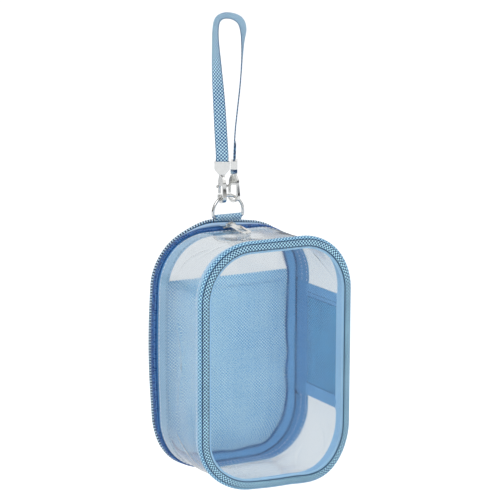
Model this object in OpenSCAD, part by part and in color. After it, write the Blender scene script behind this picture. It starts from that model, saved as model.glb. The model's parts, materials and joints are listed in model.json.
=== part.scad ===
// Clear zip pouch that hangs from a wrist strap by two swivel clasps.
// Millimetres. The origin is the inside top of the strap's loop, +Z is up, -Y is the pouch's front.

/* [Pouch] */
// Width of the pouch body between its side faces
body_w = 112; // [90:1:150]
// Height of the pouch body between its top and bottom faces
body_h = 166.6; // [130:0.1:220]
// Depth of the pouch from the back seam to the front seam
body_d = 75.4; // [50:0.1:100]
// Radius of the four corners of the panels
corner_r = 36; // [20:1:44]
// Thickness of the clear vinyl
vinyl_t = 0.6; // [0.3:0.1:1]
// Thickness of the cloth
cloth_t = 0.6; // [0.4:0.1:1]

/* [Piping] */
// Radius of the piping cord beside the front seam
piping_r = 1.9; // [1.6:0.1:3]
// How far the front piping's centre stands out from the pouch's side faces
piping_out = 1.2; // [0.4:0.1:1.4]
// Distance of the front piping's centre behind the front panel's face
piping_back = 3.2; // [2:0.1:5]
// Width of the piping tape's edge that is sewn on the front panel's face
piping_lip_w = 3; // [2:0.1:5]
// Thickness of that edge where it wraps the seam's corner
piping_lip_t = 0.8; // [0.4:0.1:1.2]
// Radius of the piping cord along the back seam
back_piping_r = 1.3; // [1:0.1:2.4]
// How far the back piping's centre lies inside the seam's corner
piping_sink = 0.2; // [0:0.1:0.6]

/* [Seam tapes] */
// Width of the tape that lies inside the gusset along the front seam
seam_tape_w = 12.5; // [8:0.5:18]
// Width of the border that lies on the inside of the front panel
front_border_w = 4; // [2:0.1:10]
// Width of the ribbon that binds the back seam, on the inside of the back panel
binding_w = 9; // [6:0.5:14]

/* [Zip] */
// Distance from the back seam to the middle of the zip's teeth
zip_line = 7.7; // [7:0.1:12]
// Width of one half of the tooth chain
coil_w = 2.6; // [2:0.1:3.5]
// Height of the tooth chain above the pouch's faces
coil_rise = 1; // [0.5:0.1:1.5]
// Space between the two halves of the tooth chain
zip_gap = 0.8; // [0.6:0.1:1.2]
// Width of the front half of the zip tape, from the teeth forwards
front_tape_w = 14.5; // [10:0.5:20]
// Width of the zip tape in front of the teeth that the vinyl leaves bare
bare_tape_w = 2; // [1:0.5:5]

/* [Slider] */
// Place of the slider along the top run of the zip, from the pouch's middle
slider_x = -1; // [-6:0.5:6]
// How far the slider can run to each side along the straight top run
slider_travel = 12; // [4:1:12]
// Length of the slider along the zip
slider_l = 12.5; // [10:0.5:15]
// Width of the slider across the zip
slider_w = 8.6; // [7.5:0.1:10]
// Thickness of the slider's upper and lower plates
plate_t = 1.1; // [0.8:0.1:1.6]
// Clearance between the slider and what it runs on
slider_play = 0.15; // [0.1:0.05:0.3]
// Length of the pull tab from its eye to its end
pull_l = 25; // [18:0.5:32]
// Width of the pull tab
pull_w = 8.6; // [6:0.2:12]
// Thickness of the pull tab
pull_t = 1.2; // [0.8:0.1:1.6]

/* [Pocket and hinge] */
// Height of the pocket's top edge above the pouch's middle
pocket_top = 48.5; // [10:0.5:60]
// Height of the pocket's folded hem
pocket_hem_h = 8.5; // [6:0.5:16]
// Height of the hinge cloth's top edge above the pouch's middle
hinge_top = 39.5; // [25:0.5:42]
// Depth of the hinge cloth's bottom edge below the pouch's middle
hinge_bottom = 40; // [25:0.5:42]
// Height of the hinge cloth's hems, which overlap the vinyl
hinge_hem_h = 9; // [5:0.5:12]

/* [Ring and tab] */
// How far the tab sits to the right of the pouch's middle
tab_offset = 2; // [-4:0.5:4]
// Width of the cloth tab
tab_w = 20; // [14:0.5:26]
// Height of the ring's bar above the pouch's top face
tab_h = 7; // [5:0.5:12]
// Thickness of one ply of the tab
tab_ply = 0.8; // [0.5:0.1:1.2]
// Radius of the ring's wire
ring_wire_r = 1.1; // [0.9:0.1:1.2]
// Space between the tab and the ring's sides, on each side
ring_side_play = 0.7; // [0.3:0.1:2]
// Length of the ring's straight sides
ring_leg = 3.3; // [1:0.1:6]
// Clearance between the ring's bar and the tab around it
tab_play = 0.15; // [0.1:0.05:0.3]

/* [Clasps] */
// Distance between the two clasps' swivel axes
clasp_gap = 9.4; // [9.2:0.1:12]
// Turn of the left clasp about its swivel, from square to the ring
left_clasp_turn = 0; // [-10:1:10]
// Turn of the right clasp about its swivel, from square to the ring
right_clasp_turn = 25; // [0:1:28]
// Thickness of the clasps
clasp_t = 2.8; // [2.6:0.1:3.2]
// Inner width of the hooks
hook_inner_w = 5.6; // [5.4:0.1:6.4]
// Thickness of the hooks around their window
hook_wall = 1.7; // [1.5:0.1:2]
// Length of the hooks' window
hook_window_l = 10.8; // [10.6:0.1:14]
// Height of the clasps' solid head above the window
clasp_head_h = 6.6; // [6:0.1:9]
// Radius of the swivel stem
stem_r = 1; // [0.8:0.1:1.1]
// Radial clearance of the swivel stem and of the gate on its pin
pivot_play = 0.06; // [0.02:0.01:0.1]
// Radius of the gate's pivot pin
gate_pin_r = 0.6; // [0.5:0.1:0.7]

/* [Strap] */
// Width of the webbing
strap_w = 9.4; // [8:0.1:9.8]
// Thickness of the webbing
strap_t = 1.4; // [1:0.1:1.6]
// Turn of the strap's loop about the vertical
strap_turn = 29; // [20:1:35]
// Height of the crimps' straight part, which holds the webbing's ends
crimp_h = 5.7; // [5:0.1:8]
// Height of the crimps' tapered part, which holds the swivels
crimp_taper_h = 3.6; // [3:0.1:5]
// Width of the crimps at their foot
crimp_foot_w = 4.4; // [3.6:0.1:6]
// Thickness of the crimps
crimp_t = 4.8; // [4.6:0.1:5]
// Thickness of the crimps' side walls beside the webbing
crimp_wall = 0.55; // [0.4:0.05:0.8]
// Clearance of the webbing in the crimps
crimp_play = 0.05; // [0.02:0.01:0.1]

/* [Hidden] */
$fn = 64;

// Small clearance between soft pieces of different bodies
soft_gap = 0.3;
// How far a cutting shape runs past what it cuts
past = 1;

// The strap's middle line between its straight ends: along the loop, across it and up, from the hang point
strap_middle = [
    [-5.1, -2.2, -80], [-6.5, -1.6, -60], [-7.7, -0.8, -38], [-8.6, -0.3, -17],
    [-7.4, 0, -4.5], [-1.5, 0, 0.7], [5, 0, -1.4], [9.6, 0, -10],
    [10.7, 0.2, -22], [9.5, 0.7, -39], [7.6, 1.3, -58], [5.6, 1.8, -77]
];
// Heights of the points that keep each end of the strap straight, from its cut end upwards
strap_end_z = [-103, -99, -95];
clasp_x = clasp_gap / 2;
strap_foot = [clasp_x * cos(strap_turn), clasp_x * sin(strap_turn)];
strap_route = concat(
    [for (z = strap_end_z) [-strap_foot[0], -strap_foot[1], z]],
    strap_middle,
    [for (i = [len(strap_end_z) - 1 : -1 : 0]) [strap_foot[0], strap_foot[1], strap_end_z[i]]]
);
// Rings of the swept webbing between two points of its route
strap_steps = 4;
// The twist of the webbing from face-on at its left end to edge-on past this share of the route
strap_twist_end = 0.42;
// How far the crimps reach up over the webbing's ends
crimp_grip = 3.4;
crimp_top = strap_end_z[0] + crimp_grip;
crimp_bottom = crimp_top - crimp_h - crimp_taper_h;
crimp_w = strap_w + 2 * crimp_wall + 2 * crimp_play;

// The clasps' swivel
stem_head_rim = 0.55;
stem_head_r = stem_r + stem_head_rim;
stem_head_t = 0.9;
crimp_floor = 1.1;
stem_free = 0.3;
collar_r = 1.9;
collar_t = 1;

// The hooks, down from the crimps
clasp_top = crimp_bottom - stem_free - collar_t;
window_top = clasp_top - clasp_head_h;
window_r = hook_inner_w / 2;
window_bottom = window_top - hook_window_l;
hook_r = window_r + hook_wall;
hook_z = window_bottom + window_r;
clasp_head_w = 7;
clasp_neck_w = 4;
clasp_shoulder = 0.6;

// The ring hangs in the hooks, where its arc slopes down to each side
function arc_drop(x) = ring_r - sqrt(ring_r * ring_r - x * x);
ring_r = tab_w / 2 + ring_side_play + ring_wire_r;
ring_drop = arc_drop(clasp_x);
hook_far_x = clasp_x + clasp_t / 2 / cos(max(abs(left_clasp_turn), abs(right_clasp_turn)));
// Clearance of the ring in the hooks, enough for it to swing in both
ring_play = 0.55;
ring_sag = arc_drop(hook_far_x) - ring_drop + ring_wire_r / cos(asin(hook_far_x / ring_r)) + ring_play;
ring_hold_z = window_bottom + ring_sag;
ring_top_z = ring_hold_z + ring_drop;
ring_arc_z = ring_top_z - ring_r;
ring_bar_z = ring_arc_z - ring_leg;

// The gate on each hook's outer side
gate_pivot_z = window_top + 1.2;
gate_pivot_y = 1.9;
gate_eye_r = 1.3;
cheek_t = 0.6;
gate_t = clasp_t - 2 * cheek_t;
spring_space = 0.6;
gate_eye_t = gate_t - spring_space;
gate_tip_z = window_bottom + 4.8;
gate_l = gate_pivot_z - gate_tip_z;
gate_w = 1.6;
gate_gap = 0.25;
// The gate's outer corner swings lower than its tip
gate_reach = norm([hook_r - gate_pivot_y, gate_l]);
gate_gap_z = gate_pivot_z - gate_reach - gate_gap;
knob_drop = 1.4;
knob_out = 2.6;
knob_r = 1.1;
knob_neck_r = 0.8;

// The tab's loop round the ring's bar, and the pouch's place under it
tab_r = ring_wire_r + tab_play + tab_ply;
pouch_top = ring_bar_z - tab_h;
pouch_z = pouch_top - body_h / 2;
seam_y = tab_ply;

// Length of the stops that close the ends of the teeth
stop_l = 3;

// Distances forwards from the back seam
rear_teeth_front = zip_line - zip_gap / 2;
rear_teeth_back = rear_teeth_front - coil_w;
front_teeth_back = zip_line + zip_gap / 2;
front_teeth_front = front_teeth_back + coil_w;
vinyl_start = front_teeth_front + bare_tape_w;
front_tape_end = front_teeth_back + front_tape_w;
front_tape_in = vinyl_t + cloth_t;

// The slider's heights above the pouch's top face
slider_floor = -front_tape_in - slider_play;
plate_low = coil_rise + slider_play;
plate_top = plate_low + plate_t;
bail_r = 0.6;
bail_post_r = 0.7;
bail_z = plate_top + 1.5;
bail_l = 6.4;
bail_y = -2.6;
slider_tail_w = 0.8 * slider_w;
slider_post_l = slider_l / 3;
pull_eye_w = 3.6;
pull_eye_wall = 0.7;
pull_eye_r = bail_r + pivot_play + pull_eye_wall;
pull_neck_l = 6.5;
pull_window_w = pull_w / 2;
pull_window_l = pull_l / 3;
pull_rest_z = soft_gap + pull_t / 2;
pull_drop = asin((bail_z - pull_rest_z) / pull_l);

// ---- shared shapes ----

// Moves its children from the pouch's own place, at the middle of its back seam, to the hanging place
module in_pouch() {
    translate([-tab_offset, seam_y, pouch_z]) children();
}

// A panel's outline, drawn in from the body's faces
module panel_outline(inset) {
    w = body_w - 2 * inset;
    h = body_h - 2 * inset;
    r = corner_r - inset;
    square([w - 2 * r, h], center = true);
    square([w, h - 2 * r], center = true);
    for (sx = [-1, 1], sz = [-1, 1]) {
        translate([sx * (w / 2 - r), sz * (h / 2 - r)]) circle(r);
    }
}

// A plate of the panels' outline, between two distances forwards from the back seam
module plate(from, to, inset = 0) {
    translate([0, -from, 0]) rotate([90, 0, 0]) linear_extrude(to - from) panel_outline(inset);
}

// A wall that follows the outline, between two distances forwards and two depths under the faces
module band(from, to, outer, inner) {
    difference() {
        plate(from, to, outer);
        plate(from - past, to + past, inner);
    }
}

// The stretch of the right side between two heights, from the outside to well inside the faces
module right_side(low, high) {
    depth = corner_r;
    translate([body_w / 2 - depth / 2, -body_d - 2 * past, low])
        cube([depth, body_d + 4 * past, high - low]);
}

// The round cord that follows the outline
module cord_ring(inset, cord_r) {
    r = corner_r - inset;
    x = body_w / 2 - corner_r;
    z = body_h / 2 - corner_r;
    for (side = [-1, 1]) {
        translate([side * (x + r), 0, 0]) cylinder(h = 2 * z, r = cord_r, center = true);
        translate([0, 0, side * (z + r)]) rotate([0, 90, 0])
            cylinder(h = 2 * x, r = cord_r, center = true);
    }
    for (q = [0 : 3]) {
        sx = (q == 0 || q == 3) ? 1 : -1;
        sz = q < 2 ? 1 : -1;
        translate([sx * x, 0, sz * z]) rotate([90, 0, 0]) rotate([0, 0, q * 90])
            rotate_extrude(angle = 90) translate([r, 0]) circle(cord_r);
    }
}

// ---- strap ----

function spline_point(a, b, c, d, t) =
    0.5 * (2 * b + (c - a) * t + (2 * a - 5 * b + 4 * c - d) * t * t
        + (3 * b - a - 3 * c + d) * t * t * t);

function route_at(s) =
    let (last = len(strap_route) - 1,
        i = min(floor(s), last - 1),
        p = strap_route)
    spline_point(p[max(i - 1, 0)], p[i], p[i + 1], p[min(i + 2, last)], s - i);

function unit(v) = v / norm(v);

// A point of the loop's own frame, turned to the hanging frame
function turned(p) = [
    p[0] * cos(strap_turn) + p[1] * sin(strap_turn),
    p[1] * cos(strap_turn) - p[0] * sin(strap_turn),
    p[2]
];

// One ring of the webbing: eight corners with the long edges chamfered
function strap_ring(k, total) =
    let (s = k / strap_steps,
        p = route_at(s),
        along = unit(route_at(min(s + 0.02, total / strap_steps)) - route_at(max(s - 0.02, 0))),
        share = min(1, max(0, s - 1) / (total / strap_steps) / strap_twist_end),
        twist = 90 * (1 - share * share * (3 - 2 * share)),
        flat_dir = unit(cross(along, [0, 1, 0])),
        wide = cos(twist) * unit(cross(flat_dir, along)) + sin(twist) * flat_dir,
        thick = cross(along, wide),
        a = strap_w / 2,
        b = strap_t / 2,
        c = strap_t / 4)
    [for (q = [[a, b - c], [a - c, b], [c - a, b], [-a, b - c],
            [-a, c - b], [c - a, -b], [a - c, -b], [a, c - b]])
        turned(p + q[0] * wide + q[1] * thick)];

module wrist_strap() {
    total = (len(strap_route) - 1) * strap_steps;
    points = [for (k = [0 : total]) each strap_ring(k, total)];
    sides = 8;
    walls = [for (k = [0 : total - 1], j = [0 : sides - 1])
        let (a = k * sides + j, b = k * sides + (j + 1) % sides)
        each [[a, b, b + sides], [a, b + sides, a + sides]]];
    first = [for (j = [1 : sides - 2]) [0, j + 1, j]];
    base = total * sides;
    last = [for (j = [1 : sides - 2]) [base, base + j, base + j + 1]];
    color("lightskyblue") polyhedron(points = points, faces = concat(walls, first, last));
}

// A folded clamp on a webbing end, with the swivel's bore in its floor
module crimp(x, turn) {
    translate([x, 0, crimp_bottom]) rotate([0, 0, turn]) difference() {
        translate([0, crimp_t / 2, 0]) rotate([90, 0, 0]) linear_extrude(crimp_t) polygon([
            [-crimp_foot_w / 2, 0], [crimp_foot_w / 2, 0],
            [crimp_w / 2, crimp_taper_h], [crimp_w / 2, crimp_taper_h + crimp_h],
            [-crimp_w / 2, crimp_taper_h + crimp_h], [-crimp_w / 2, crimp_taper_h]
        ]);
        slot_w = strap_w + 2 * crimp_play;
        slot_t = strap_t + 2 * crimp_play;
        translate([-slot_w / 2, -slot_t / 2, crimp_taper_h + crimp_h - crimp_grip])
            cube([slot_w, slot_t, crimp_grip + past]);
        translate([0, 0, -past]) cylinder(h = crimp_floor + 2 * past, r = stem_r + pivot_play);
        translate([0, 0, crimp_floor])
            cylinder(h = stem_head_t + 2 * stem_free, r = stem_head_r + stem_free);
    }
}

module left_crimp() {
    color("silver") crimp(-clasp_x, -strap_turn);
}

module right_crimp() {
    color("silver") crimp(clasp_x, 90 - strap_turn);
}

// ---- clasps ----

// Puts its children in a clasp's place: x across the clasp's thickness, y towards its gate
module in_clasp(side) {
    x = side * clasp_x;
    turn = side < 0 ? left_clasp_turn : right_clasp_turn;
    translate([x, 0, 0]) rotate([0, 0, turn]) children();
}

// A plate drawn as y and z, centred on the clasp's thickness
module clasp_plate(t, shift = 0) {
    translate([shift - t / 2, 0, 0]) rotate([90, 0, 90]) linear_extrude(t) children();
}

module hook_outline() {
    translate([0, hook_z]) circle(hook_r);
    polygon([
        [-hook_r, hook_z], [hook_r, hook_z],
        [clasp_head_w / 2, gate_pivot_z], [clasp_head_w / 2, gate_pivot_z + gate_eye_r + clasp_shoulder],
        [clasp_neck_w / 2, clasp_top], [-clasp_neck_w / 2, clasp_top],
        [-clasp_head_w / 2, gate_pivot_z + gate_eye_r + clasp_shoulder], [-clasp_head_w / 2, gate_pivot_z]
    ]);
}

module window_outline() {
    translate([0, hook_z]) circle(window_r);
    translate([-window_r, hook_z]) square([hook_inner_w, window_top - hook_z]);
}

// The gap in the hook's side that the gate closes
module gate_gap_outline() {
    translate([0, gate_gap_z]) square([hook_r + past, window_top - gate_gap_z]);
}

module clasp(side) {
    in_clasp(side) {
        difference() {
            clasp_plate(clasp_t) hook_outline();
            clasp_plate(clasp_t + 2 * past) window_outline();
            clasp_plate(clasp_t + 2 * past) gate_gap_outline();
            // The slot for the gate's eye, open to the gate's side
            clasp_plate(gate_t) {
                translate([gate_pivot_y, gate_pivot_z]) circle(gate_eye_r + gate_gap);
                translate([gate_pivot_y - gate_eye_r - gate_gap, window_top - past])
                    square([hook_r + past, gate_pivot_z - window_top + past]);
                translate([gate_pivot_y, window_top - past])
                    square([hook_r + past, gate_pivot_z - window_top + past + gate_eye_r]);
            }
            clasp_plate(clasp_t + 2 * past)
                translate([gate_pivot_y, gate_pivot_z]) circle(gate_pin_r);
        }
        translate([0, 0, clasp_top]) cylinder(h = collar_t, r = collar_r);
        translate([0, 0, clasp_top]) cylinder(h = crimp_bottom + crimp_floor - clasp_top
            + stem_free + stem_head_t / 2, r = stem_r);
        translate([0, 0, crimp_bottom + crimp_floor + stem_free])
            cylinder(h = stem_head_t, r = stem_head_r);
    }
}

module gate_pin(side) {
    in_clasp(side) clasp_plate(clasp_t) translate([gate_pivot_y, gate_pivot_z]) circle(gate_pin_r);
}

// The gate's torsion spring, wound round the pin beside the gate's eye
module gate_spring(side) {
    in_clasp(side) clasp_plate(gate_t - gate_eye_t - 2 * pivot_play, gate_eye_t / 2) difference() {
        translate([gate_pivot_y, gate_pivot_z]) circle(gate_eye_r - gate_gap);
        translate([gate_pivot_y, gate_pivot_z]) circle(gate_pin_r + pivot_play);
    }
}

module gate(side) {
    in_clasp(side) {
        clasp_plate(gate_eye_t, (gate_eye_t - gate_t) / 2 + pivot_play) difference() {
            union() {
                translate([gate_pivot_y, gate_pivot_z]) circle(gate_eye_r);
                polygon([
                    [gate_pivot_y, gate_pivot_z - gate_eye_r], [gate_pivot_y, gate_pivot_z + gate_eye_r],
                    [hook_r, gate_pivot_z - knob_drop], [hook_r, gate_pivot_z - 2 * knob_drop],
                    [hook_r - gate_w, gate_pivot_z - 2 * knob_drop]
                ]);
            }
            translate([gate_pivot_y, gate_pivot_z]) circle(gate_pin_r + pivot_play);
        }
        clasp_plate(gate_t - 2 * pivot_play) {
            translate([hook_r - gate_w, gate_tip_z])
                square([gate_w, gate_l - knob_drop]);
        }
        // The thumb knob
        translate([0, hook_r - gate_w / 2, gate_pivot_z - 2 * knob_drop]) rotate([-90, 0, 0]) {
            cylinder(h = knob_out, r = knob_neck_r);
            translate([0, 0, knob_out - knob_r / 2]) cylinder(h = knob_r, r = knob_r);
        }
    }
}

module left_clasp() {
    color("silver") clasp(-1);
}

module right_clasp() {
    color("silver") clasp(1);
}

module left_gate_pin() {
    color("gray") gate_pin(-1);
}

module right_gate_pin() {
    color("gray") gate_pin(1);
}

module left_gate_spring() {
    color("dimgray") gate_spring(-1);
}

module right_gate_spring() {
    color("dimgray") gate_spring(1);
}

module left_gate() {
    color("gainsboro") gate(-1);
}

module right_gate() {
    color("gainsboro") gate(1);
}

// ---- ring and tab ----

module d_ring() {
    color("silver") {
        translate([0, 0, ring_arc_z]) rotate([90, 0, 0])
            rotate_extrude(angle = 180) translate([ring_r, 0]) circle(ring_wire_r);
        for (side = [-1, 1]) {
            translate([side * ring_r, 0, ring_bar_z]) cylinder(h = ring_leg, r = ring_wire_r);
            translate([side * ring_r, 0, ring_bar_z]) sphere(ring_wire_r);
        }
        translate([0, 0, ring_bar_z]) rotate([0, 90, 0])
            cylinder(h = 2 * ring_r, r = ring_wire_r, center = true);
    }
}

module ring_tab() {
    color("lightskyblue") difference() {
        union() {
            translate([0, 0, ring_bar_z]) rotate([0, 90, 0])
                cylinder(h = tab_w, r = tab_r, center = true);
            translate([-tab_w / 2, -tab_ply, pouch_top])
                cube([tab_w, 2 * tab_ply, ring_bar_z - pouch_top]);
        }
        translate([0, 0, ring_bar_z]) rotate([0, 90, 0])
            cylinder(h = tab_w + 2 * past, r = ring_wire_r + tab_play, center = true);
    }
}

// ---- back of the pouch ----

module back_panel() {
    color([0.9, 0.94, 0.95, 0.3]) in_pouch() plate(0, vinyl_t);
}

module back_piping() {
    color("royalblue") in_pouch() difference() {
        translate([0, -piping_sink, 0]) cord_ring(piping_sink, back_piping_r);
        plate(0, body_d);
        // The tab passes out of the seam here
        translate([tab_offset, 0, body_h / 2 + back_piping_r / 2])
            cube([tab_w + 2 * soft_gap, 4 * back_piping_r, 3 * back_piping_r], center = true);
    }
}

module rear_zip_tape() {
    color("steelblue") in_pouch() difference() {
        band(vinyl_t, rear_teeth_back, 0, cloth_t);
        right_side(-hinge_bottom, hinge_top);
    }
}

module rear_hinge_cloth() {
    color("cornflowerblue") in_pouch() intersection() {
        band(vinyl_t, rear_teeth_front, 0, cloth_t);
        right_side(-hinge_bottom, hinge_top);
    }
}

module rear_zip_teeth() {
    color("navy") in_pouch() difference() {
        band(rear_teeth_back, rear_teeth_front, -coil_rise, cloth_t);
        right_side(-hinge_bottom - stop_l, hinge_top + stop_l);
    }
}

// Short blocks at both ends of a row of teeth
module stops(from, to, inner) {
    intersection() {
        band(from, to, -coil_rise, inner);
        union() {
            right_side(hinge_top, hinge_top + stop_l);
            right_side(-hinge_bottom - stop_l, -hinge_bottom);
        }
    }
}

module rear_zip_stops() {
    color("silver") in_pouch() stops(rear_teeth_back, rear_teeth_front, cloth_t);
}

module back_pocket() {
    color("lightskyblue") in_pouch() intersection() {
        plate(vinyl_t, vinyl_t + cloth_t, cloth_t);
        translate([-body_w, -body_d, -body_h]) cube([2 * body_w, body_d, body_h + pocket_top]);
    }
}

module pocket_hem() {
    from = vinyl_t + cloth_t;
    color("skyblue") in_pouch() intersection() {
        plate(from, from + cloth_t, cloth_t + binding_w);
        translate([-body_w, -body_d, pocket_top - pocket_hem_h])
            cube([2 * body_w, body_d, pocket_hem_h]);
    }
}

module back_binding() {
    from = vinyl_t + cloth_t;
    color("deepskyblue") in_pouch() band(from, from + cloth_t, cloth_t, cloth_t + binding_w);
}

// ---- front of the pouch, which opens ----

module front_panel() {
    color([0.9, 0.94, 0.95, 0.3]) in_pouch() plate(body_d - vinyl_t, body_d);
}

module front_piping() {
    color("lightskyblue") in_pouch() difference() {
        union() {
            translate([0, piping_back - body_d, 0]) cord_ring(-piping_out, piping_r);
            band(body_d - piping_back, body_d + piping_lip_t, -piping_lip_t, piping_lip_w);
        }
        plate(0, body_d);
    }
}

// The clear wall round the pouch, with its window for the hinge cloth
module gusset() {
    color([0.9, 0.94, 0.95, 0.3]) in_pouch() difference() {
        band(vinyl_start, body_d - vinyl_t, 0, vinyl_t);
        right_side(hinge_hem_h - hinge_bottom, hinge_top - hinge_hem_h);
    }
}

module front_seam_tape() {
    end = body_d - vinyl_t;
    color("lightskyblue") in_pouch() {
        difference() {
            band(end - seam_tape_w, end, vinyl_t, vinyl_t + cloth_t);
            right_side(-hinge_bottom, hinge_top);
        }
        band(end - cloth_t, end, vinyl_t + cloth_t, vinyl_t + cloth_t + front_border_w);
    }
}

module front_zip_tape() {
    color("cornflowerblue") in_pouch() difference() {
        band(front_teeth_front, front_tape_end, vinyl_t, front_tape_in);
        right_side(-hinge_bottom, hinge_top);
    }
}

module front_zip_teeth() {
    color("navy") in_pouch() difference() {
        band(front_teeth_back, front_teeth_front, -coil_rise, front_tape_in);
        right_side(-hinge_bottom - stop_l, hinge_top + stop_l);
    }
}

module front_zip_stops() {
    color("silver") in_pouch() stops(front_teeth_back, front_teeth_front, front_tape_in);
}

// The cloth that the front swings on, under the vinyl's edges and flush with the zip's plane
module hinge_cloth() {
    color("cornflowerblue") in_pouch() intersection() {
        union() {
            band(front_teeth_back, body_d - vinyl_t - cloth_t, vinyl_t, front_tape_in);
            band(front_teeth_back, vinyl_start, 0, vinyl_t);
        }
        right_side(-hinge_bottom, hinge_top);
    }
}

// The folded hems on the inside of the hinge cloth's two ends
module hinge_hems() {
    color("steelblue") in_pouch() intersection() {
        band(front_tape_end, body_d - vinyl_t - seam_tape_w, front_tape_in, front_tape_in + cloth_t);
        union() {
            right_side(hinge_top - hinge_hem_h, hinge_top);
            right_side(-hinge_bottom, hinge_hem_h - hinge_bottom);
        }
    }
}

// ---- slider ----

// Moves its children to the slider's place, on the zip's line at the pouch's top face
module in_slider() {
    in_pouch() translate([slider_x, -zip_line, body_h / 2]) children();
}

// A slider plate: round at the nose and straight at the tail
module slider_plate(low, t) {
    r = slider_w / 2;
    translate([0, 0, low]) linear_extrude(t) {
        translate([slider_l / 2 - r, 0]) circle(r);
        translate([-slider_l / 2, -slider_tail_w / 2]) square([slider_l - r, slider_tail_w]);
    }
}

module zip_slider() {
    post_t = zip_gap - 2 * slider_play;
    color("silver") in_slider() {
        slider_plate(plate_low, plate_t);
        slider_plate(slider_floor - plate_t, plate_t);
        // The post between the two rows of teeth
        translate([0, -post_t / 2, slider_floor - plate_t / 2])
            cube([slider_post_l, post_t, plate_low - slider_floor + plate_t]);
        // The bail that carries the pull
        for (side = [-1, 1]) {
            translate([side * bail_l / 2, bail_y, plate_top - plate_t / 2])
                cylinder(h = bail_z - plate_top + plate_t / 2 + bail_r, r = bail_post_r);
        }
        translate([0, bail_y, bail_z]) rotate([0, 90, 0])
            cylinder(h = bail_l, r = bail_r, center = true);
    }
}

module zip_pull() {
    r = pull_w / 2;
    color("gainsboro") in_slider() translate([0, bail_y, bail_z]) rotate([pull_drop, 0, 0]) {
        difference() {
            union() {
                rotate([0, 90, 0]) cylinder(h = pull_eye_w, r = pull_eye_r, center = true);
                translate([0, 0, -pull_t / 2]) linear_extrude(pull_t) difference() {
                    union() {
                        translate([-pull_eye_w / 2, -pull_neck_l]) square([pull_eye_w, pull_neck_l]);
                        translate([0, r - pull_l]) circle(r);
                        translate([-r, r - pull_l]) square([pull_w, pull_l - r - pull_neck_l]);
                    }
                    translate([-pull_window_w / 2, r - pull_l]) square([pull_window_w, pull_window_l]);
                }
            }
            rotate([0, 90, 0])
                cylinder(h = pull_eye_w + 2 * past, r = bail_r + pivot_play, center = true);
        }
    }
}

wrist_strap();
left_crimp();
right_crimp();
left_clasp();
left_gate_pin();
left_gate_spring();
left_gate();
right_clasp();
right_gate_pin();
right_gate_spring();
right_gate();
d_ring();
ring_tab();
back_panel();
back_piping();
back_binding();
back_pocket();
pocket_hem();
rear_zip_tape();
rear_zip_teeth();
rear_zip_stops();
rear_hinge_cloth();
front_panel();
gusset();
front_piping();
front_seam_tape();
front_zip_tape();
front_zip_teeth();
front_zip_stops();
hinge_cloth();
hinge_hems();
zip_slider();
zip_pull();
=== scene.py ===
"""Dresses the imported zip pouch: clear vinyl, cloth, piping, zip, webbing strap and plated clasps.

Every length in the classes is in millimetres and becomes metres when a mesh is made.
"""
import json
import logging
import math
from dataclasses import dataclass
from enum import Enum
from typing import Callable, Optional, Sequence

import bmesh
import bpy
import numpy as np
from mathutils import Matrix, Vector

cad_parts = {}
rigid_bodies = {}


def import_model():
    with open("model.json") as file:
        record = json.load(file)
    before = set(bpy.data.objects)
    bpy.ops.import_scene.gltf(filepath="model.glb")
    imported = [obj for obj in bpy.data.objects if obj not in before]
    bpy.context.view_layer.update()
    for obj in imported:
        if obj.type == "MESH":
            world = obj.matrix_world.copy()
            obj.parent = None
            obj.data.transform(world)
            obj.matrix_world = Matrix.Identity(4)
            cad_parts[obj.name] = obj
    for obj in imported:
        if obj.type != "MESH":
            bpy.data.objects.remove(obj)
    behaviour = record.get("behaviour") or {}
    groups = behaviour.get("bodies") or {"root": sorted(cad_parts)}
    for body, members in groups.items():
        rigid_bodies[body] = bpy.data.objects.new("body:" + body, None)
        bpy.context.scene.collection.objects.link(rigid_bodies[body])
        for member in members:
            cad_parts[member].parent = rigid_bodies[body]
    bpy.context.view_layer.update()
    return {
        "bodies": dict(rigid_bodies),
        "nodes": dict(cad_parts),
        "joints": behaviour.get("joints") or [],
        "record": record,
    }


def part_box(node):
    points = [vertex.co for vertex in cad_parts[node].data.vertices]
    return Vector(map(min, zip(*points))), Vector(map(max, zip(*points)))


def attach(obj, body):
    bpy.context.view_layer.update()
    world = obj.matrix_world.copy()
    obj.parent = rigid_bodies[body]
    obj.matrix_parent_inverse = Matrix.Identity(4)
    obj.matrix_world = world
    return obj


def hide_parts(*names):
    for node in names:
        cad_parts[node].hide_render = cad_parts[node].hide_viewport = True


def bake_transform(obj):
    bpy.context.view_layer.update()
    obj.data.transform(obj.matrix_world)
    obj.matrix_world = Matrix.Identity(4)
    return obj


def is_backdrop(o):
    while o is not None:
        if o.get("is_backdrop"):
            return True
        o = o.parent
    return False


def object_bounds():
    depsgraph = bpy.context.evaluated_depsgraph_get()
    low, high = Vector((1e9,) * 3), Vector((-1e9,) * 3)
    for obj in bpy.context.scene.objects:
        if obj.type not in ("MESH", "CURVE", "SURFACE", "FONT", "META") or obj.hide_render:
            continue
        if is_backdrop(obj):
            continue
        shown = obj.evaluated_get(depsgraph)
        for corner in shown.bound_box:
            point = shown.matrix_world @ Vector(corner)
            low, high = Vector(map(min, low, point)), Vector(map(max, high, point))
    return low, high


MM = 0.001
BAND_EDGE = 0.4
FLECK = 0.06
YARN_DIP = 0.45
SCRATCH_STRETCH = (2600.0, 2600.0, 260.0)
SHARP = 50.0
LOG = logging.getLogger("pouch")
Colour = tuple[float, float, float, float]


class Body(str, Enum):
    """The moving bodies that pieces ride on."""

    STRAP = "strap"
    LEFT_CLASP = "left_clasp"
    RIGHT_CLASP = "right_clasp"
    LEFT_GATE = "left_gate"
    RIGHT_GATE = "right_gate"
    RING = "ring"
    BACK = "pouch_back"
    FRONT = "pouch_front"
    SLIDER = "slider"
    PULL = "pull"


class Seam(Enum):
    """The two piped seams."""

    BACK = -1
    FRONT = 1


# ---- colour and node helpers ----


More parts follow.
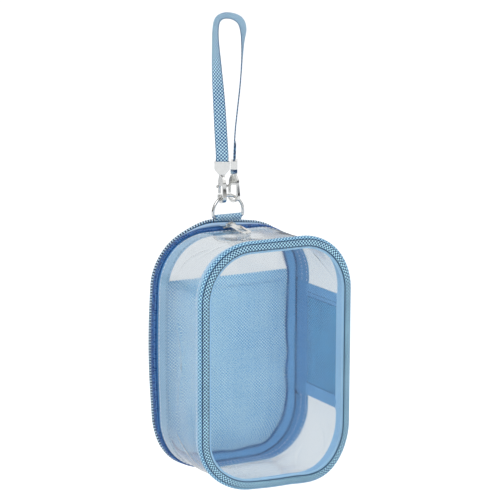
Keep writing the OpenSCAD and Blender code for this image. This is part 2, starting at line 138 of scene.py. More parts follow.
def screen(code: str) -> Colour:
    """Turns a six-digit screen colour into linear light.

    Args:
        code: the colour as six hexadecimal digits.

    Returns:
        Red, green, blue and alpha in linear light.
    """
    parts = [int(code[i : i + 2], 16) / 255 for i in (0, 2, 4)]
    linear = [p / 12.92 if p <= 0.04045 else ((p + 0.055) / 1.055) ** 2.4 for p in parts]
    return (*linear, 1.0)


class Graph:
    """A node tree with short calls for the nodes that the finishes use."""

    def __init__(self, tree: bpy.types.NodeTree) -> None:
        """Wraps a node tree."""
        self.tree = tree

    def node(self, kind: str, **settings: object) -> bpy.types.Node:
        """Adds a node of a kind and sets its properties."""
        made = self.tree.nodes.new(kind)
        for name, value in settings.items():
            setattr(made, name, value)
        return made

    def feed(self, socket: bpy.types.NodeSocket, value: object) -> None:
        """Links a socket to another one, or sets its plain value."""
        if isinstance(value, bpy.types.NodeSocket):
            self.tree.links.new(value, socket)
        else:
            socket.default_value = value

    def math(self, operation: str, *values: object) -> bpy.types.NodeSocket:
        """Adds a Math node and returns its output."""
        made = self.node("ShaderNodeMath", operation=operation)
        for socket, value in zip(made.inputs, values):
            self.feed(socket, value)
        return made.outputs[0]

    def mix(self, factor: object, first: object, second: object) -> bpy.types.NodeSocket:
        """Adds a colour Mix node and returns its output."""
        made = self.node("ShaderNodeMix", data_type="RGBA")
        for socket, value in zip((made.inputs[0], made.inputs[6], made.inputs[7]), (factor, first, second)):
            self.feed(socket, value)
        return made.outputs[2]

    def spread(
        self, value: object, low: float, high: float, to_low: float = 0.0, to_high: float = 1.0
    ) -> bpy.types.NodeSocket:
        """Maps a value's range onto another one and returns the output."""
        made = self.node("ShaderNodeMapRange")
        for socket, number in zip(made.inputs, (value, low, high, to_low, to_high)):
            self.feed(socket, number)
        return made.outputs[0]

    def split(self, value: bpy.types.NodeSocket) -> bpy.types.NodeOutputs:
        """Splits a vector and returns its three parts."""
        made = self.node("ShaderNodeSeparateXYZ")
        self.feed(made.inputs[0], value)
        return made.outputs

    def coord(self, kind: str) -> bpy.types.NodeSocket:
        """The coordinates of a kind."""
        return self.node("ShaderNodeTexCoord").outputs[kind]

    def rough(self, shader: bpy.types.Node, mask: object, clean: float, worn: float) -> None:
        """Feeds the shader's roughness, from clean where the mask is 0 to worn where it is 1."""
        self.feed(shader.inputs["Roughness"], self.spread(mask, 0, 1, clean, worn))

    def noise(self, place: object, scale: float, detail: float = 3.0) -> bpy.types.NodeSocket:
        """Adds a noise texture on a place and returns its value."""
        made = self.node("ShaderNodeTexNoise")
        self.feed(made.inputs["Vector"], place)
        made.inputs["Scale"].default_value = scale
        made.inputs["Detail"].default_value = detail
        return made.outputs[0]

    def marks(self, wear: bpy.types.NodeTree, patch: float) -> tuple[bpy.types.NodeSocket, bpy.types.Node]:
        """Adds the handling marks and returns their place and their node."""
        place = self.coord("Object")
        made = self.node("ShaderNodeGroup", node_tree=wear)
        self.feed(made.inputs["Place"], place)
        made.inputs["Patch"].default_value = patch
        return place, made

    def bump(self, shader: bpy.types.Node, height: object, distance: float, strength: float = 1.0) -> None:
        """Feeds a height to the shader's normal; the distance is in millimetres."""
        made = self.node("ShaderNodeBump")
        made.inputs["Distance"].default_value = distance * MM
        made.inputs["Strength"].default_value = strength
        self.feed(made.inputs["Height"], height)
        self.feed(shader.inputs["Normal"], made.outputs[0])


def set_plain(shader: bpy.types.Node, values: dict[str, object]) -> None:
    """Sets a shader's own sockets to plain values."""
    for name, value in values.items():
        shader.inputs[name].default_value = value


def new_group(
    name: str, inputs: Sequence[tuple[str, str, object]], outputs: Sequence[tuple[str, str]]
) -> tuple[bpy.types.NodeTree, Graph, bpy.types.Node, bpy.types.Node]:
    """Starts a shared shader node group with named sockets.

    Args:
        name: the group's name.
        inputs: (name, socket type, default) of each input.
        outputs: (name, socket type) of each output.

    Returns:
        The group, its graph, its input node and its output node.
    """
    group = bpy.data.node_groups.new(name, "ShaderNodeTree")
    for label, kind, default in inputs:
        socket = group.interface.new_socket(name=label, in_out="INPUT", socket_type=kind)
        if default is not None:
            socket.default_value = default
    for label, kind in outputs:
        group.interface.new_socket(name=label, in_out="OUTPUT", socket_type=kind)
    graph = Graph(group)
    return group, graph, graph.node("NodeGroupInput"), graph.node("NodeGroupOutput")


def weave_group() -> bpy.types.NodeTree:
    """Plain weave: over each square of yarns either the warp or the weft is on top.

    Each yarn is a dome across its width, which bows down where it goes under its neighbour.
    Height is the surface from 0 to 1, Over is 1 where the warp shows, and Fleck is a slow
    change of shade along single yarns.

    Returns:
        The node group.
    """
    group, graph, source, sink = new_group(
        "plain_weave",
        [("Place", "NodeSocketVector", None), ("Yarn", "NodeSocketFloat", 0.001)],
        [("Height", "NodeSocketFloat"), ("Over", "NodeSocketFloat"), ("Fleck", "NodeSocketFloat")],
    )
    place = graph.split(source.outputs["Place"])
    across = graph.math("DIVIDE", place[0], source.outputs["Yarn"])
    along = graph.math("DIVIDE", place[1], source.outputs["Yarn"])
    warp = graph.math("SINE", graph.math("MULTIPLY", graph.math("FRACT", across), math.pi))
    weft = graph.math("SINE", graph.math("MULTIPLY", graph.math("FRACT", along), math.pi))
    cells = graph.math("ADD", graph.math("FLOOR", across), graph.math("FLOOR", along))
    over = graph.math("FLOORED_MODULO", cells, 2.0)
    warp_top = graph.math("MULTIPLY", warp, graph.spread(weft, 0, 1, YARN_DIP, 1))
    weft_top = graph.math("MULTIPLY", weft, graph.spread(warp, 0, 1, YARN_DIP, 1))
    under = graph.math("SUBTRACT", 1.0, over)
    weft_part = graph.math("MULTIPLY", weft_top, under)
    height = graph.math("ADD", graph.math("MULTIPLY", warp_top, over), weft_part)
    yarn_id = graph.node("ShaderNodeCombineXYZ")
    graph.feed(yarn_id.inputs[0], graph.math("MULTIPLY", graph.math("FLOOR", across), over))
    graph.feed(yarn_id.inputs[1], graph.math("MULTIPLY", graph.math("FLOOR", along), under))
    shade = graph.node("ShaderNodeTexWhiteNoise", noise_dimensions="3D")
    graph.feed(shade.inputs[0], yarn_id.outputs[0])
    graph.feed(sink.inputs["Height"], height)
    graph.feed(sink.inputs["Over"], over)
    graph.feed(sink.inputs["Fleck"], shade.outputs[0])
    return group


def wear_group() -> bpy.types.NodeTree:
    """Handling marks: a patchy mask for roughness and fine scratches as height.

    Returns:
        The node group.
    """
    group, graph, source, sink = new_group(
        "handling_marks",
        [("Place", "NodeSocketVector", None), ("Patch", "NodeSocketFloat", 300.0)],
        [("Mask", "NodeSocketFloat"), ("Height", "NodeSocketFloat")],
    )
    patch = graph.node("ShaderNodeTexNoise")
    graph.feed(patch.inputs["Vector"], source.outputs["Place"])
    graph.feed(patch.inputs["Scale"], source.outputs["Patch"])
    stretch = graph.node("ShaderNodeMapping")
    graph.feed(stretch.inputs["Vector"], source.outputs["Place"])
    stretch.inputs["Scale"].default_value = SCRATCH_STRETCH
    graph.feed(sink.inputs["Mask"], graph.spread(patch.outputs[0], 0.35, 0.65))
    graph.feed(sink.inputs["Height"], graph.noise(stretch.outputs[0], 1.0, 2.0))
    return group


@dataclass(frozen=True)
class Groups:
    """The node groups that several finishes share."""

    weave: bpy.types.NodeTree
    wear: bpy.types.NodeTree

    @classmethod
    def made(cls) -> "Groups":
        """Builds both groups."""
        return cls(weave_group(), wear_group())


def start_material(name: str) -> tuple[bpy.types.Material, Graph, bpy.types.Node]:
    """A new node material with its Principled shader.

    Returns:
        The material, its graph and the shader.
    """
    material = bpy.data.materials.new(name)
    material.use_nodes = True
    return material, Graph(material.node_tree), material.node_tree.nodes["Principled BSDF"]


# ---- finishes ----


@dataclass(frozen=True)
class Cloth:
    """A woven cloth or tape, whose yarns follow the piece's own map."""

    name: str
    light: str
    dark: str
    yarn: float = 0.8
    # contrast: how much painted shade darkens the hollows between the yarns
    contrast: float = 0.5
    split: float = 0.5
    depth: float = 0.12
    sheen: float = 0.15
    rough: tuple[float, float] = (0.95, 0.72)
    bands: tuple[tuple[float, str, str], ...] = ()

    def material(self, groups: Groups) -> bpy.types.Material:
        """Builds the cloth.

        The colour goes from dark between the yarns to light on them, which is painted shade in the
        hollows of the weave, and split is how much darker the weft is than the warp. From each band's
        distance across the map on, it has its colours; on some pieces these bands paint light and shade.

        Returns:
            The material.
        """
        material, graph, shader = start_material(self.name)
        chart = graph.node("ShaderNodeUVMap", uv_map="Cloth").outputs[0]
        weave = graph.node("ShaderNodeGroup", node_tree=groups.weave)
        graph.feed(weave.inputs["Place"], chart)
        weave.inputs["Yarn"].default_value = self.yarn * MM
        wobble = graph.noise(graph.coord("Object"), 45.0)
        # painted shade: darker where the yarns dip, in the hollows of the weave
        tone = graph.spread(weave.outputs["Height"], 0.15, 0.85, 1 - self.contrast, 1.0)
        tone = graph.math("MULTIPLY", tone, graph.spread(weave.outputs["Over"], 0, 1, 1 - self.split, 1.0))
        tone = graph.math("ADD", tone, graph.spread(weave.outputs["Fleck"], 0, 1, -FLECK, FLECK))
        tone = graph.math("ADD", tone, graph.spread(wobble, 0.3, 0.7, -FLECK, FLECK))
        colour = graph.mix(tone, screen(self.dark), screen(self.light))
        across = graph.split(chart)[1] if self.bands else None
        for start, light, dark in self.bands:
            past = graph.spread(across, (start - BAND_EDGE) * MM, (start + BAND_EDGE) * MM)
            colour = graph.mix(past, colour, graph.mix(tone, screen(dark), screen(light)))
        graph.feed(shader.inputs["Base Color"], colour)
        graph.rough(shader, weave.outputs["Height"], *self.rough)
        set_plain(shader, {"Sheen Weight": self.sheen, "Sheen Roughness": 0.5, "Specular IOR Level": 0.35})
        graph.bump(shader, weave.outputs["Height"], self.depth, 0.9)
        return material


@dataclass(frozen=True)
class Vinyl:
    """Clear soft vinyl, which lets the light of lamps pass."""

    name: str
    tint: str
    roughness: float = 0.05
    ripple: float = 0.25
    ripple_scale: float = 38.0
    shade: float = 0.12
    index: float = 1.42
    patch: float = 60.0
    worn: float = 2.0

    def material(self, groups: Groups) -> bpy.types.Material:
        """Builds the vinyl: a clear shader with slow ripples and faint handling marks.

        Returns:
            The material.
        """
        material, graph, shader = start_material(self.name)
        place, marks = graph.marks(groups.wear, self.patch)
        mask = marks.outputs["Mask"]
        graph.rough(shader, mask, self.roughness, self.roughness * self.worn)
        clear = {"Base Color": screen(self.tint), "Transmission Weight": 1.0, "IOR": self.index}
        set_plain(shader, clear)
        lamp_ray = graph.node("ShaderNodeLightPath").outputs["Is Shadow Ray"]
        graph.feed(shader.inputs["Alpha"], graph.spread(lamp_ray, 0, 1, 1.0, self.shade))
        graph.bump(shader, graph.noise(place, self.ripple_scale, 2.0), self.ripple)
        return material


@dataclass(frozen=True)
class Metal:
    """Plated or bare metal with handling marks."""

    name: str
    colour: str
    roughness: float
    scratch: float = 0.004
    dulled: float = 0.95
    patch: float = 400.0
    worn: float = 1.5

    def material(self, groups: Groups) -> bpy.types.Material:
        """Builds the metal.

        Returns:
            The material.
        """
        material, graph, shader = start_material(self.name)
        mask, height = graph.marks(groups.wear, self.patch)[1].outputs
        set_plain(shader, {"Metallic": 1.0})
        bright = screen(self.colour)
        dull = (*(c * self.dulled for c in bright[:3]), 1.0)
        graph.feed(shader.inputs["Base Color"], graph.mix(mask, bright, dull))
        graph.rough(shader, mask, self.roughness, self.roughness * self.worn)
        graph.bump(shader, height, self.scratch)
        return material


@dataclass(frozen=True)
class Moulded:
    """Moulded plastic or thread of one colour, a little lighter in the patches of its handling marks."""

    name: str
    colour: str
    pale: str
    roughness: float
    coat: float = 0.0
    patch: float = 500.0
    worn: float = 1.4

    def material(self, groups: Groups) -> bpy.types.Material:
        """Builds the plastic.

        Returns:
            The material.
        """
        material, graph, shader = start_material(self.name)
        mask = graph.marks(groups.wear, self.patch)[1].outputs["Mask"]
        graph.feed(shader.inputs["Base Color"], graph.mix(mask, screen(self.colour), screen(self.pale)))
        graph.rough(shader, mask, self.roughness, self.roughness * self.worn)
        set_plain(shader, {"Coat Weight": self.coat, "Coat Roughness": 0.15})
        return material


# ---- meshes ----


def grid_faces(rows: int, cols: int, wrap_rows: bool, wrap_cols: bool) -> tuple[np.ndarray, np.ndarray]:
    """Four-cornered faces of a grid of points.

    Returns:
        The faces as point numbers, and each corner's unwrapped row and column.
    """
    row = np.arange(rows if wrap_rows else rows - 1)[:, None]
    col = np.arange(cols if wrap_cols else cols - 1)[None, :]
    row, col = np.broadcast_arrays(row, col)
    corners = np.stack(
        [np.stack([row + a, col + b], -1) for a, b in ((0, 0), (0, 1), (1, 1), (1, 0))], -2
    ).reshape(-1, 4, 2)
    faces = (corners[..., 0] % rows) * cols + corners[..., 1] % cols
    return faces, corners


def end_faces(rows: int, cols: int) -> np.ndarray:
    """Strips of paired points that close the first and the last ring of a grid."""
    j = np.arange(cols // 2 - 1)
    first = np.stack([j, cols - 1 - j, cols - 2 - j, j + 1], -1)
    return np.vstack([first, (rows - 1) * cols + first[:, ::-1]])


def outward(points: np.ndarray, faces: np.ndarray) -> bool:
    """Whether the faces of a closed mesh point outwards, by the sign of the volume that they hold."""
    a, b, c, d = (points[faces[:, i]] for i in range(4))
    volume = (np.cross(a, b) * c).sum() + (np.cross(a, c) * d).sum()
    return bool(volume > 0)


def placed(name: str, data: bpy.types.ID) -> bpy.types.Object:
    """Makes an object of its data and puts it into the scene."""
    made = bpy.data.objects.new(name, data)
    bpy.context.scene.collection.objects.link(made)
    return made


def smoothed(mesh: bpy.types.Mesh, degrees: float) -> None:
    """Shades a mesh smoothly, with sharp edges where its faces meet at more than an angle."""
    mesh.polygons.foreach_set("use_smooth", np.ones(len(mesh.polygons), dtype=bool))
    mesh.set_sharp_from_angle(angle=math.radians(degrees))


def box(node: str) -> tuple[np.ndarray, np.ndarray]:
    """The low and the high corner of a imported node, in millimetres."""
    low, high = (np.array(corner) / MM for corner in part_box(node))
    return low, high


def circle(sides: int) -> np.ndarray:
    """Angles evenly round a circle."""
    return np.linspace(0, 2 * np.pi, sides, endpoint=False)


def solid(name: str, points: np.ndarray, faces: np.ndarray, chart: np.ndarray) -> bpy.types.Object:
    """Makes a closed piece from its points in millimetres.

    Args:
        name: the object's name.
        points: (n, 3) places.
        faces: (f, 4) point numbers.
        chart: (f, 4, 2) place of each corner on the cloth map, in millimetres.

    Returns:
        The object, at the origin, with smooth faces and sharp edges.
    """
    points = points.reshape(-1, 3)
    if not outward(points, faces):
        faces = faces[:, ::-1]
        chart = chart[:, ::-1]
    mesh = bpy.data.meshes.new(name)
    mesh.vertices.add(len(points))
    mesh.vertices.foreach_set("co", (points * MM).astype(np.float32).ravel())
    mesh.loops.add(faces.size)
    mesh.polygons.add(len(faces))
    mesh.polygons.foreach_set("loop_start", np.arange(0, faces.size, 4, dtype=np.int32))
    mesh.polygons.foreach_set("vertices", faces.astype(np.int32).ravel())
    layer = mesh.uv_layers.new(name="Cloth")
    layer.uv.foreach_set("vector", (chart * MM).astype(np.float32).ravel())
    mesh.update(calc_edges=True)
    mesh.validate()
    smoothed(mesh, SHARP)
    return placed(name, mesh)


def tube(
    name: str, rings: np.ndarray, along: np.ndarray, around: np.ndarray, closed: bool
) -> bpy.types.Object:
    """A skin over rings of points, with flat ends where it isn't closed on itself.

    Args:
        name: the object's name.
        rings: (n, k, 3) points in millimetres.
        along: the map's distance of each ring, one more than the rings where closed.
        around: the map's distance of each point round a ring, k + 1 of them.
        closed: whether the last ring joins the first.

    Returns:
        The object.
    """
    rows, cols = rings.shape[:2]
    faces, corners = grid_faces(rows, cols, closed, True)
    chart = np.stack([along[corners[..., 0]], around[corners[..., 1]]], -1)
    if not closed:
        ends = end_faces(rows, cols)
        faces = np.vstack([faces, ends])
        chart = np.concatenate([chart, np.zeros((*ends.shape, 2))])
    return solid(name, rings.reshape(-1, 3), faces, chart)


def shell(
    name: str,
    outer: np.ndarray,
    inner: np.ndarray,
    along: np.ndarray,
    across: np.ndarray,
    closed: bool,
    inner_shift: float = 0.0,
) -> bpy.types.Object:
    """A sheet with two faces and rims.

    Args:
        name: the object's name.
        outer: (n, k, 3) points of the outer face, in millimetres.
        inner: the inner face's points.
        along: the map's distance of each row, one more than the rows where closed.
        across: the map's distance of each column.
        closed: whether the last row joins the first.
        inner_shift: how far on the map the inner face lies beside the outer one.

    Returns:
        The object.
    """
    rings = np.concatenate([outer, inner[:, ::-1]], axis=1)
    rows, cols = rings.shape[:2]
    around = np.concatenate([across, across[::-1] + inner_shift, across[:1]])
    faces, corners = grid_faces(rows, cols, closed, True)
    chart = np.stack([along[corners[..., 0]], around[corners[..., 1]]], -1)
    if not closed:
        ends = end_faces(rows, cols)
        end_chart = np.stack([np.zeros(ends.shape), around[ends % cols]], -1)
        faces = np.vstack([faces, ends])
        chart = np.concatenate([chart, end_chart])
    return solid(name, rings.reshape(-1, 3), faces, chart)


def bead(length: float, radius: float, rings: int = 5, sides: int = 6) -> np.ndarray:
    """A stitch or other small rounded bar, as (rings, sides, 3) places along, up and across.

    The radius follows a half ellipse to the power of a half, so that the ends are blunt.
    """
    t = np.linspace(-1, 1, rings)
    swell = (1 - (t * 0.985) ** 4) ** 0.5
    angle = circle(sides)
    along = np.broadcast_to((t * length / 2)[:, None], (rings, sides))
    up = swell[:, None] * np.cos(angle) * radius
    across = swell[:, None] * np.sin(angle) * radius
    return np.stack([along, up, across], -1)


def repeated(name: str, copies: np.ndarray) -> bpy.types.Object:
    """Makes many small closed bars one piece.

    Args:
        name: the object's name.
        copies: (copies, rings, sides, 3) points in millimetres.

    Returns:
        The object.
    """
    count, rings, sides = copies.shape[:3]
    one = np.vstack([grid_faces(rings, sides, False, True)[0], end_faces(rings, sides)])
    every = (one[None] + (np.arange(count) * rings * sides)[:, None, None]).reshape(-1, 4)
    chart = np.zeros((len(every), 4, 2))
    return solid(name, copies.reshape(-1, 3), every, chart)


def measured(line: np.ndarray) -> np.ndarray:
    """The length of a line of points up to each of them."""
    return np.concatenate([[0], np.cumsum(np.linalg.norm(np.diff(line, axis=0), axis=1))])


def smooth_step(value: np.ndarray) -> np.ndarray:
    """A curve from 0 to 1 with level ends."""
    t = np.clip(value, 0, 1)
    return t * t * (3 - 2 * t)


def climb(value: np.ndarray, start: float, run: float) -> np.ndarray:
    """A smooth step that starts at a value and takes a run."""
    return smooth_step((value - start) / run)


def fall(value: np.ndarray, start: float, run: float) -> np.ndarray:
    """A smooth step down from 1 that starts at a value and takes a run."""
    return smooth_step(1 - (value - start) / run)


def hump(value: np.ndarray, low: float, high: float, edge: float) -> np.ndarray:
    """1 between two values and 0 outside, with soft edges of a given width inside the values."""
    return smooth_step((value - low) / edge) * smooth_step((high - value) / edge)


# ---- the pouch's outline ----


@dataclass(frozen=True)
class Outline:
    """The rounded rectangle that the pouch's walls follow, and the pouch's place.

    A place on it is s, the distance from the middle of the right side, up over the top and round;
    depth, the distance inwards from the faces; and ahead, the distance forwards from the back seam.
    """

    width: float
    height: float
    radius: float
    deep: float
    centre_x: float
    centre_z: float
    seam_y: float
    rim_lift: float = 5.0
    rim_lift_x: float = -11.0
    rim_lift_spread: tuple[float, float] = (15.0, 31.0)
    rim_lift_from: float = 50.0
    rim_soft: tuple[float, float] = (1.0, 4.4)
    side_bulge: float = 3.0
    side_from: tuple[float, float] = (15.0, 38.0)
    side_middle: float = 4.0
    side_half: float = 66.0
    left_gather: float = 2.6
    gather_from: tuple[float, float] = (20.0, 25.0)
    gather_start: tuple[float, float] = (0.8, 5.0)
    gather_end: tuple[float, float] = (12.0, 20.0)
    foot_drop: float = 2.8
    end_from: tuple[float, float] = (45.0, 35.0)
    back_soft: float = 32.0
    front_from: tuple[float, float] = (30.0, 40.0)
    front_foot: tuple[float, float] = (2.0, -3.2)
    front_foot_left: tuple[float, float] = (-5.0, 45.0)
    front_foot_right: tuple[float, float] = (12.0, 36.0)
    front_rise: float = 1.0

    @classmethod
    def from_frame(cls, radius: float = 36.0) -> "Outline":
        """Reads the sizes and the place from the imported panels."""
        low, high = box("back_panel")
        front = box("front_panel")[0]
        return cls(
            width=high[0] - low[0],
            height=high[2] - low[2],
            radius=radius,
            deep=high[1] - front[1],
            centre_x=(low[0] + high[0]) / 2,
            centre_z=(low[2] + high[2]) / 2,
            seam_y=high[1],
        )

    @property
    def knots(self) -> np.ndarray:
        """The distances at which straights and corners begin, from the middle of the right side."""
        rise = self.height / 2 - self.radius
        corner = math.pi * self.radius / 2
        run = self.width - 2 * self.radius
        return np.cumsum([0, rise, corner, run, corner, 2 * rise, corner, run, corner, rise])

    @property
    def round(self) -> float:
        """The whole way round."""
        return float(self.knots[-1])

    def place(self, s: np.ndarray, depth: np.ndarray, ahead: np.ndarray) -> np.ndarray:
        """Points at places on the walls.

        A point is the inner rectangle's nearest point plus the radius, less the depth, along the
        wall's outward direction, whose angle grows steadily round each corner.

        Returns:
            The points in millimetres, with a last axis of 3.
        """
        s, depth, ahead = np.broadcast_arrays(np.mod(s, self.round), depth, ahead)
        bx = self.width / 2 - self.radius
        bz = self.height / 2 - self.radius
        xs = [bx, bx, bx, -bx, -bx, -bx, -bx, bx, bx, bx]
        zs = [0, bz, bz, bz, bz, -bz, -bz, -bz, -bz, 0]
        turns = [0, 0, 90, 90, 180, 180, 270, 270, 360, 360]
        angle = np.radians(np.interp(s, self.knots, turns))
        reach = self.radius - depth
        x = np.interp(s, self.knots, xs) + reach * np.cos(angle)
        z = np.interp(s, self.knots, zs) + reach * np.sin(angle)
        return self.hung(x, ahead, z)

    def hung(self, x: np.ndarray, ahead: np.ndarray, z: np.ndarray) -> np.ndarray:
        """Moves places of the even box as the soft pouch hangs, and puts them in the frame.

        The tab draws the back rim up in a low arch, the zip gathers towards the rim on the left,
        the back's left side bulges and its foot sags, and the front's foot droops to the right.
        Each pair whose name ends in from, start, end, left or right is where a smooth step starts
        and how far it runs.

        Args:
            x: distances to the right of the pouch's middle.
            ahead: distances forwards from the back seam.
            z: heights above the pouch's middle.

        Returns:
            The points in millimetres, with a last axis of 3.
        """
        x, ahead, z = np.broadcast_arrays(x, ahead, z)
        soft_start, soft_end = self.rim_soft
        rim = fall(ahead, soft_start, soft_end - soft_start)
        past = x - self.rim_lift_x
        arch = np.exp(-((past / np.where(past < 0, *self.rim_lift_spread)) ** 2))
        top = climb(z, self.rim_lift_from, self.height / 2 - self.rim_lift_from)
        lift = self.rim_lift * rim * arch * top
        back = fall(ahead, 0.0, self.back_soft)
        belly = np.clip(1 - ((z - self.side_middle) / self.side_half) ** 2, 0, 1) ** 1.5
        side = climb(-x, *self.side_from) * belly
        foot = climb(-z, *self.end_from)
        front = climb(ahead, *self.front_from)
        left, right = self.front_foot
        droop = left * climb(-x, *self.front_foot_left) + right * climb(x, *self.front_foot_right)
        rise = self.front_rise * climb(z, *self.end_from)
        moved_z = z + lift - self.foot_drop * back * foot + front * (droop * foot + rise)
        moved_x = x - self.side_bulge * back * side
        gather = climb(ahead, *self.gather_start) * fall(ahead, *self.gather_end)
        gather = climb(-x, *self.gather_from) * gather
        moved_ahead = ahead - self.left_gather * gather
        return np.stack([self.centre_x + moved_x, self.seam_y - moved_ahead, self.centre_z + moved_z], -1)

    def half_width(self, z: np.ndarray, inset: float) -> np.ndarray:
        """Half the panel's width at a height from its middle, drawn in by an inset."""
        reach = self.radius - inset
        over = np.clip(np.abs(z) - (self.height / 2 - self.radius), 0, reach)
        return self.width / 2 - self.radius + np.sqrt(np.maximum(reach**2 - over**2, 0))

    def steps(
        self, spacing: float, start: float = 0.0, end: Optional[float] = None
    ) -> np.ndarray:
        """Distances round the outline about a spacing apart, without the end of a closed turn."""
        if end is None:
            return np.linspace(0, self.round, int(self.round / spacing), endpoint=False)
        return np.linspace(start, end, max(2, int((end - start) / spacing) + 1))

    def lining(
        self,
        name: str,
        s: np.ndarray,
        ahead: np.ndarray,
        near: np.ndarray,
        far: np.ndarray,
        closed: bool,
        inner_shift: float = 0.0,
    ) -> bpy.types.Object:
        """A sheet along the wall between two depths.

        Args:
            name: the object's name.
            s: distances round the outline, as a column.
            ahead: distances forwards, as a row.
            near: the outer face's depth.
            far: the inner face's depth.
            closed: whether it goes all the way round.
            inner_shift: how far on the map the inner face lies beside the outer one.

        Returns:
            The object.
        """
        outer, inner = self.place(s, near, ahead), self.place(s, far, ahead)
        along = np.append(s, self.round) if closed else s[:, 0]
        return shell(name, outer, inner, along, ahead[0], closed, inner_shift)


@dataclass(frozen=True)
class Sizes:
    """The sizes that the pouch's pieces share with its construction."""

    vinyl: float = 0.6
    cloth: float = 0.6
    piping: float = 1.9
    piping_out: float = 1.2
    piping_back: float = 3.2
    lip_wide: float = 3.0
    lip_thick: float = 0.8
    back_piping: float = 1.3
    piping_sink: float = 0.2
    zip_line: float = 7.7
    zip_gap: float = 0.8
    coil: float = 2.6
    bare_tape: float = 2.0
    front_tape: float = 14.5
    seam_tape: float = 12.5
    front_border: float = 4.0
    binding: float = 9.0
    binding_rise: float = 4.2
    pocket_top: float = 48.5
    pocket_hem: float = 8.5
    hinge_top: float = 41.5
    hinge_bottom: float = 40.0
    hinge_hem: float = 9.0

    @property
    def rear_teeth(self) -> tuple[float, float]:
        """The rear row of teeth, as distances forwards from the back seam."""
        front = self.zip_line - self.zip_gap / 2
        return front - self.coil, front

    @property
    def front_teeth(self) -> tuple[float, float]:
        """The front row of teeth."""
        back = self.zip_line + self.zip_gap / 2
        return back, back + self.coil

    @property
    def vinyl_start(self) -> float:
        """Where the gusset's vinyl begins."""
        return self.front_teeth[1] + self.bare_tape

    @property
    def front_tape_end(self) -> float:
        """Where the front half of the zip tape ends."""
        return self.front_teeth[0] + self.front_tape


def on_hinge(o: Outline, z: Sizes, s: np.ndarray) -> np.ndarray:
    """1 where the hinge cloth is, round the wall, and 0 elsewhere."""
    return 1 - hump(np.mod(s, o.round), z.hinge_top, o.round - z.hinge_bottom, 1.5)


# ---- placing pieces ----


@dataclass
class Dresser:
    """Gives each piece its finish, its body and the nodes that it stands for."""

    frame: dict
    finishes: dict[str, bpy.types.Material]
    weld: float = 0.002
    flat_within: float = 2.0
    edge_angle: float = 35.0

    def dress(
        self,
        piece: bpy.types.Object,
        finish: str,
        body: Body,
        replaces: Sequence[str] = (),
        ride: bool = True,
    ) -> bpy.types.Object:
        """Finishes a piece and puts it on its body.

        Returns:
            The piece.
        """
        piece.data.materials.clear()
        piece.data.materials.append(self.finishes[finish])
        if ride:
            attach(piece, body.value)
        if replaces:
            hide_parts(*replaces)
        LOG.info("%s: %d faces, rides on %s", piece.name, len(piece.data.polygons), body.value)
        return piece

    def polished(
        self, node: str, name: str, finish: str, body: Body, edge: float, segments: int = 3
    ) -> bpy.types.Object:
        """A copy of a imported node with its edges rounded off.

        Args:
            node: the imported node.
            name: the new piece's name.
            finish: its finish.
            body: its body.
            edge: the width of the rounding, in millimetres.
            segments: the rounding's steps.

        Returns:
            The piece, which replaces the node.
        """
        mesh = self.frame["nodes"][node].data.copy()
        work = bmesh.new()
        work.from_mesh(mesh)
        bmesh.ops.remove_doubles(work, verts=work.verts, dist=self.weld * MM)
        flat = math.radians(self.flat_within)
        bmesh.ops.dissolve_limit(work, angle_limit=flat, verts=work.verts, edges=work.edges)
        work.to_mesh(mesh)
        work.free()
        piece = placed(name, mesh)
        smoothed(mesh, self.edge_angle)
        bevel = piece.modifiers.new("edges", "BEVEL")
        bevel.width = edge * MM
        bevel.segments = segments
        bevel.limit_method = "ANGLE"
        bevel.angle_limit = math.radians(self.edge_angle)
        bevel.use_clamp_overlap = True
        bevel.harden_normals = False
        return self.dress(piece, finish, body, [node])

    def keep(self, node: str, finish: str) -> None:
        """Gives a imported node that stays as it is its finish."""
        data = self.frame["nodes"][node].data
        data.materials.clear()
        data.materials.append(self.finishes[finish])


# ---- the pouch's walls ----


@dataclass(frozen=True)
class Crease:
    """A soft ridge in the vinyl between two places, given as (round the outline, forwards)."""

    start: tuple[float, float]
    end: tuple[float, float]
    height: float = 0.45
    width: float = 1.3
    bow: float = 0.0

    def ridge(self, s: np.ndarray, ahead: np.ndarray) -> np.ndarray:
        """The ridge's height: a bell across the bowed line, which fades at both of its ends."""
        a, b = np.array(self.start), np.array(self.end)
        run = b - a
        length = float(np.hypot(*run))
        ds, dg = s - a[0], ahead - a[1]
        t = (ds * run[0] + dg * run[1]) / length**2
        off = (ds * -run[1] + dg * run[0]) / length - self.bow * 4 * t * (1 - t)
        return self.height * np.exp(-((off / self.width) ** 2)) * hump(t, 0, 1, 0.3)


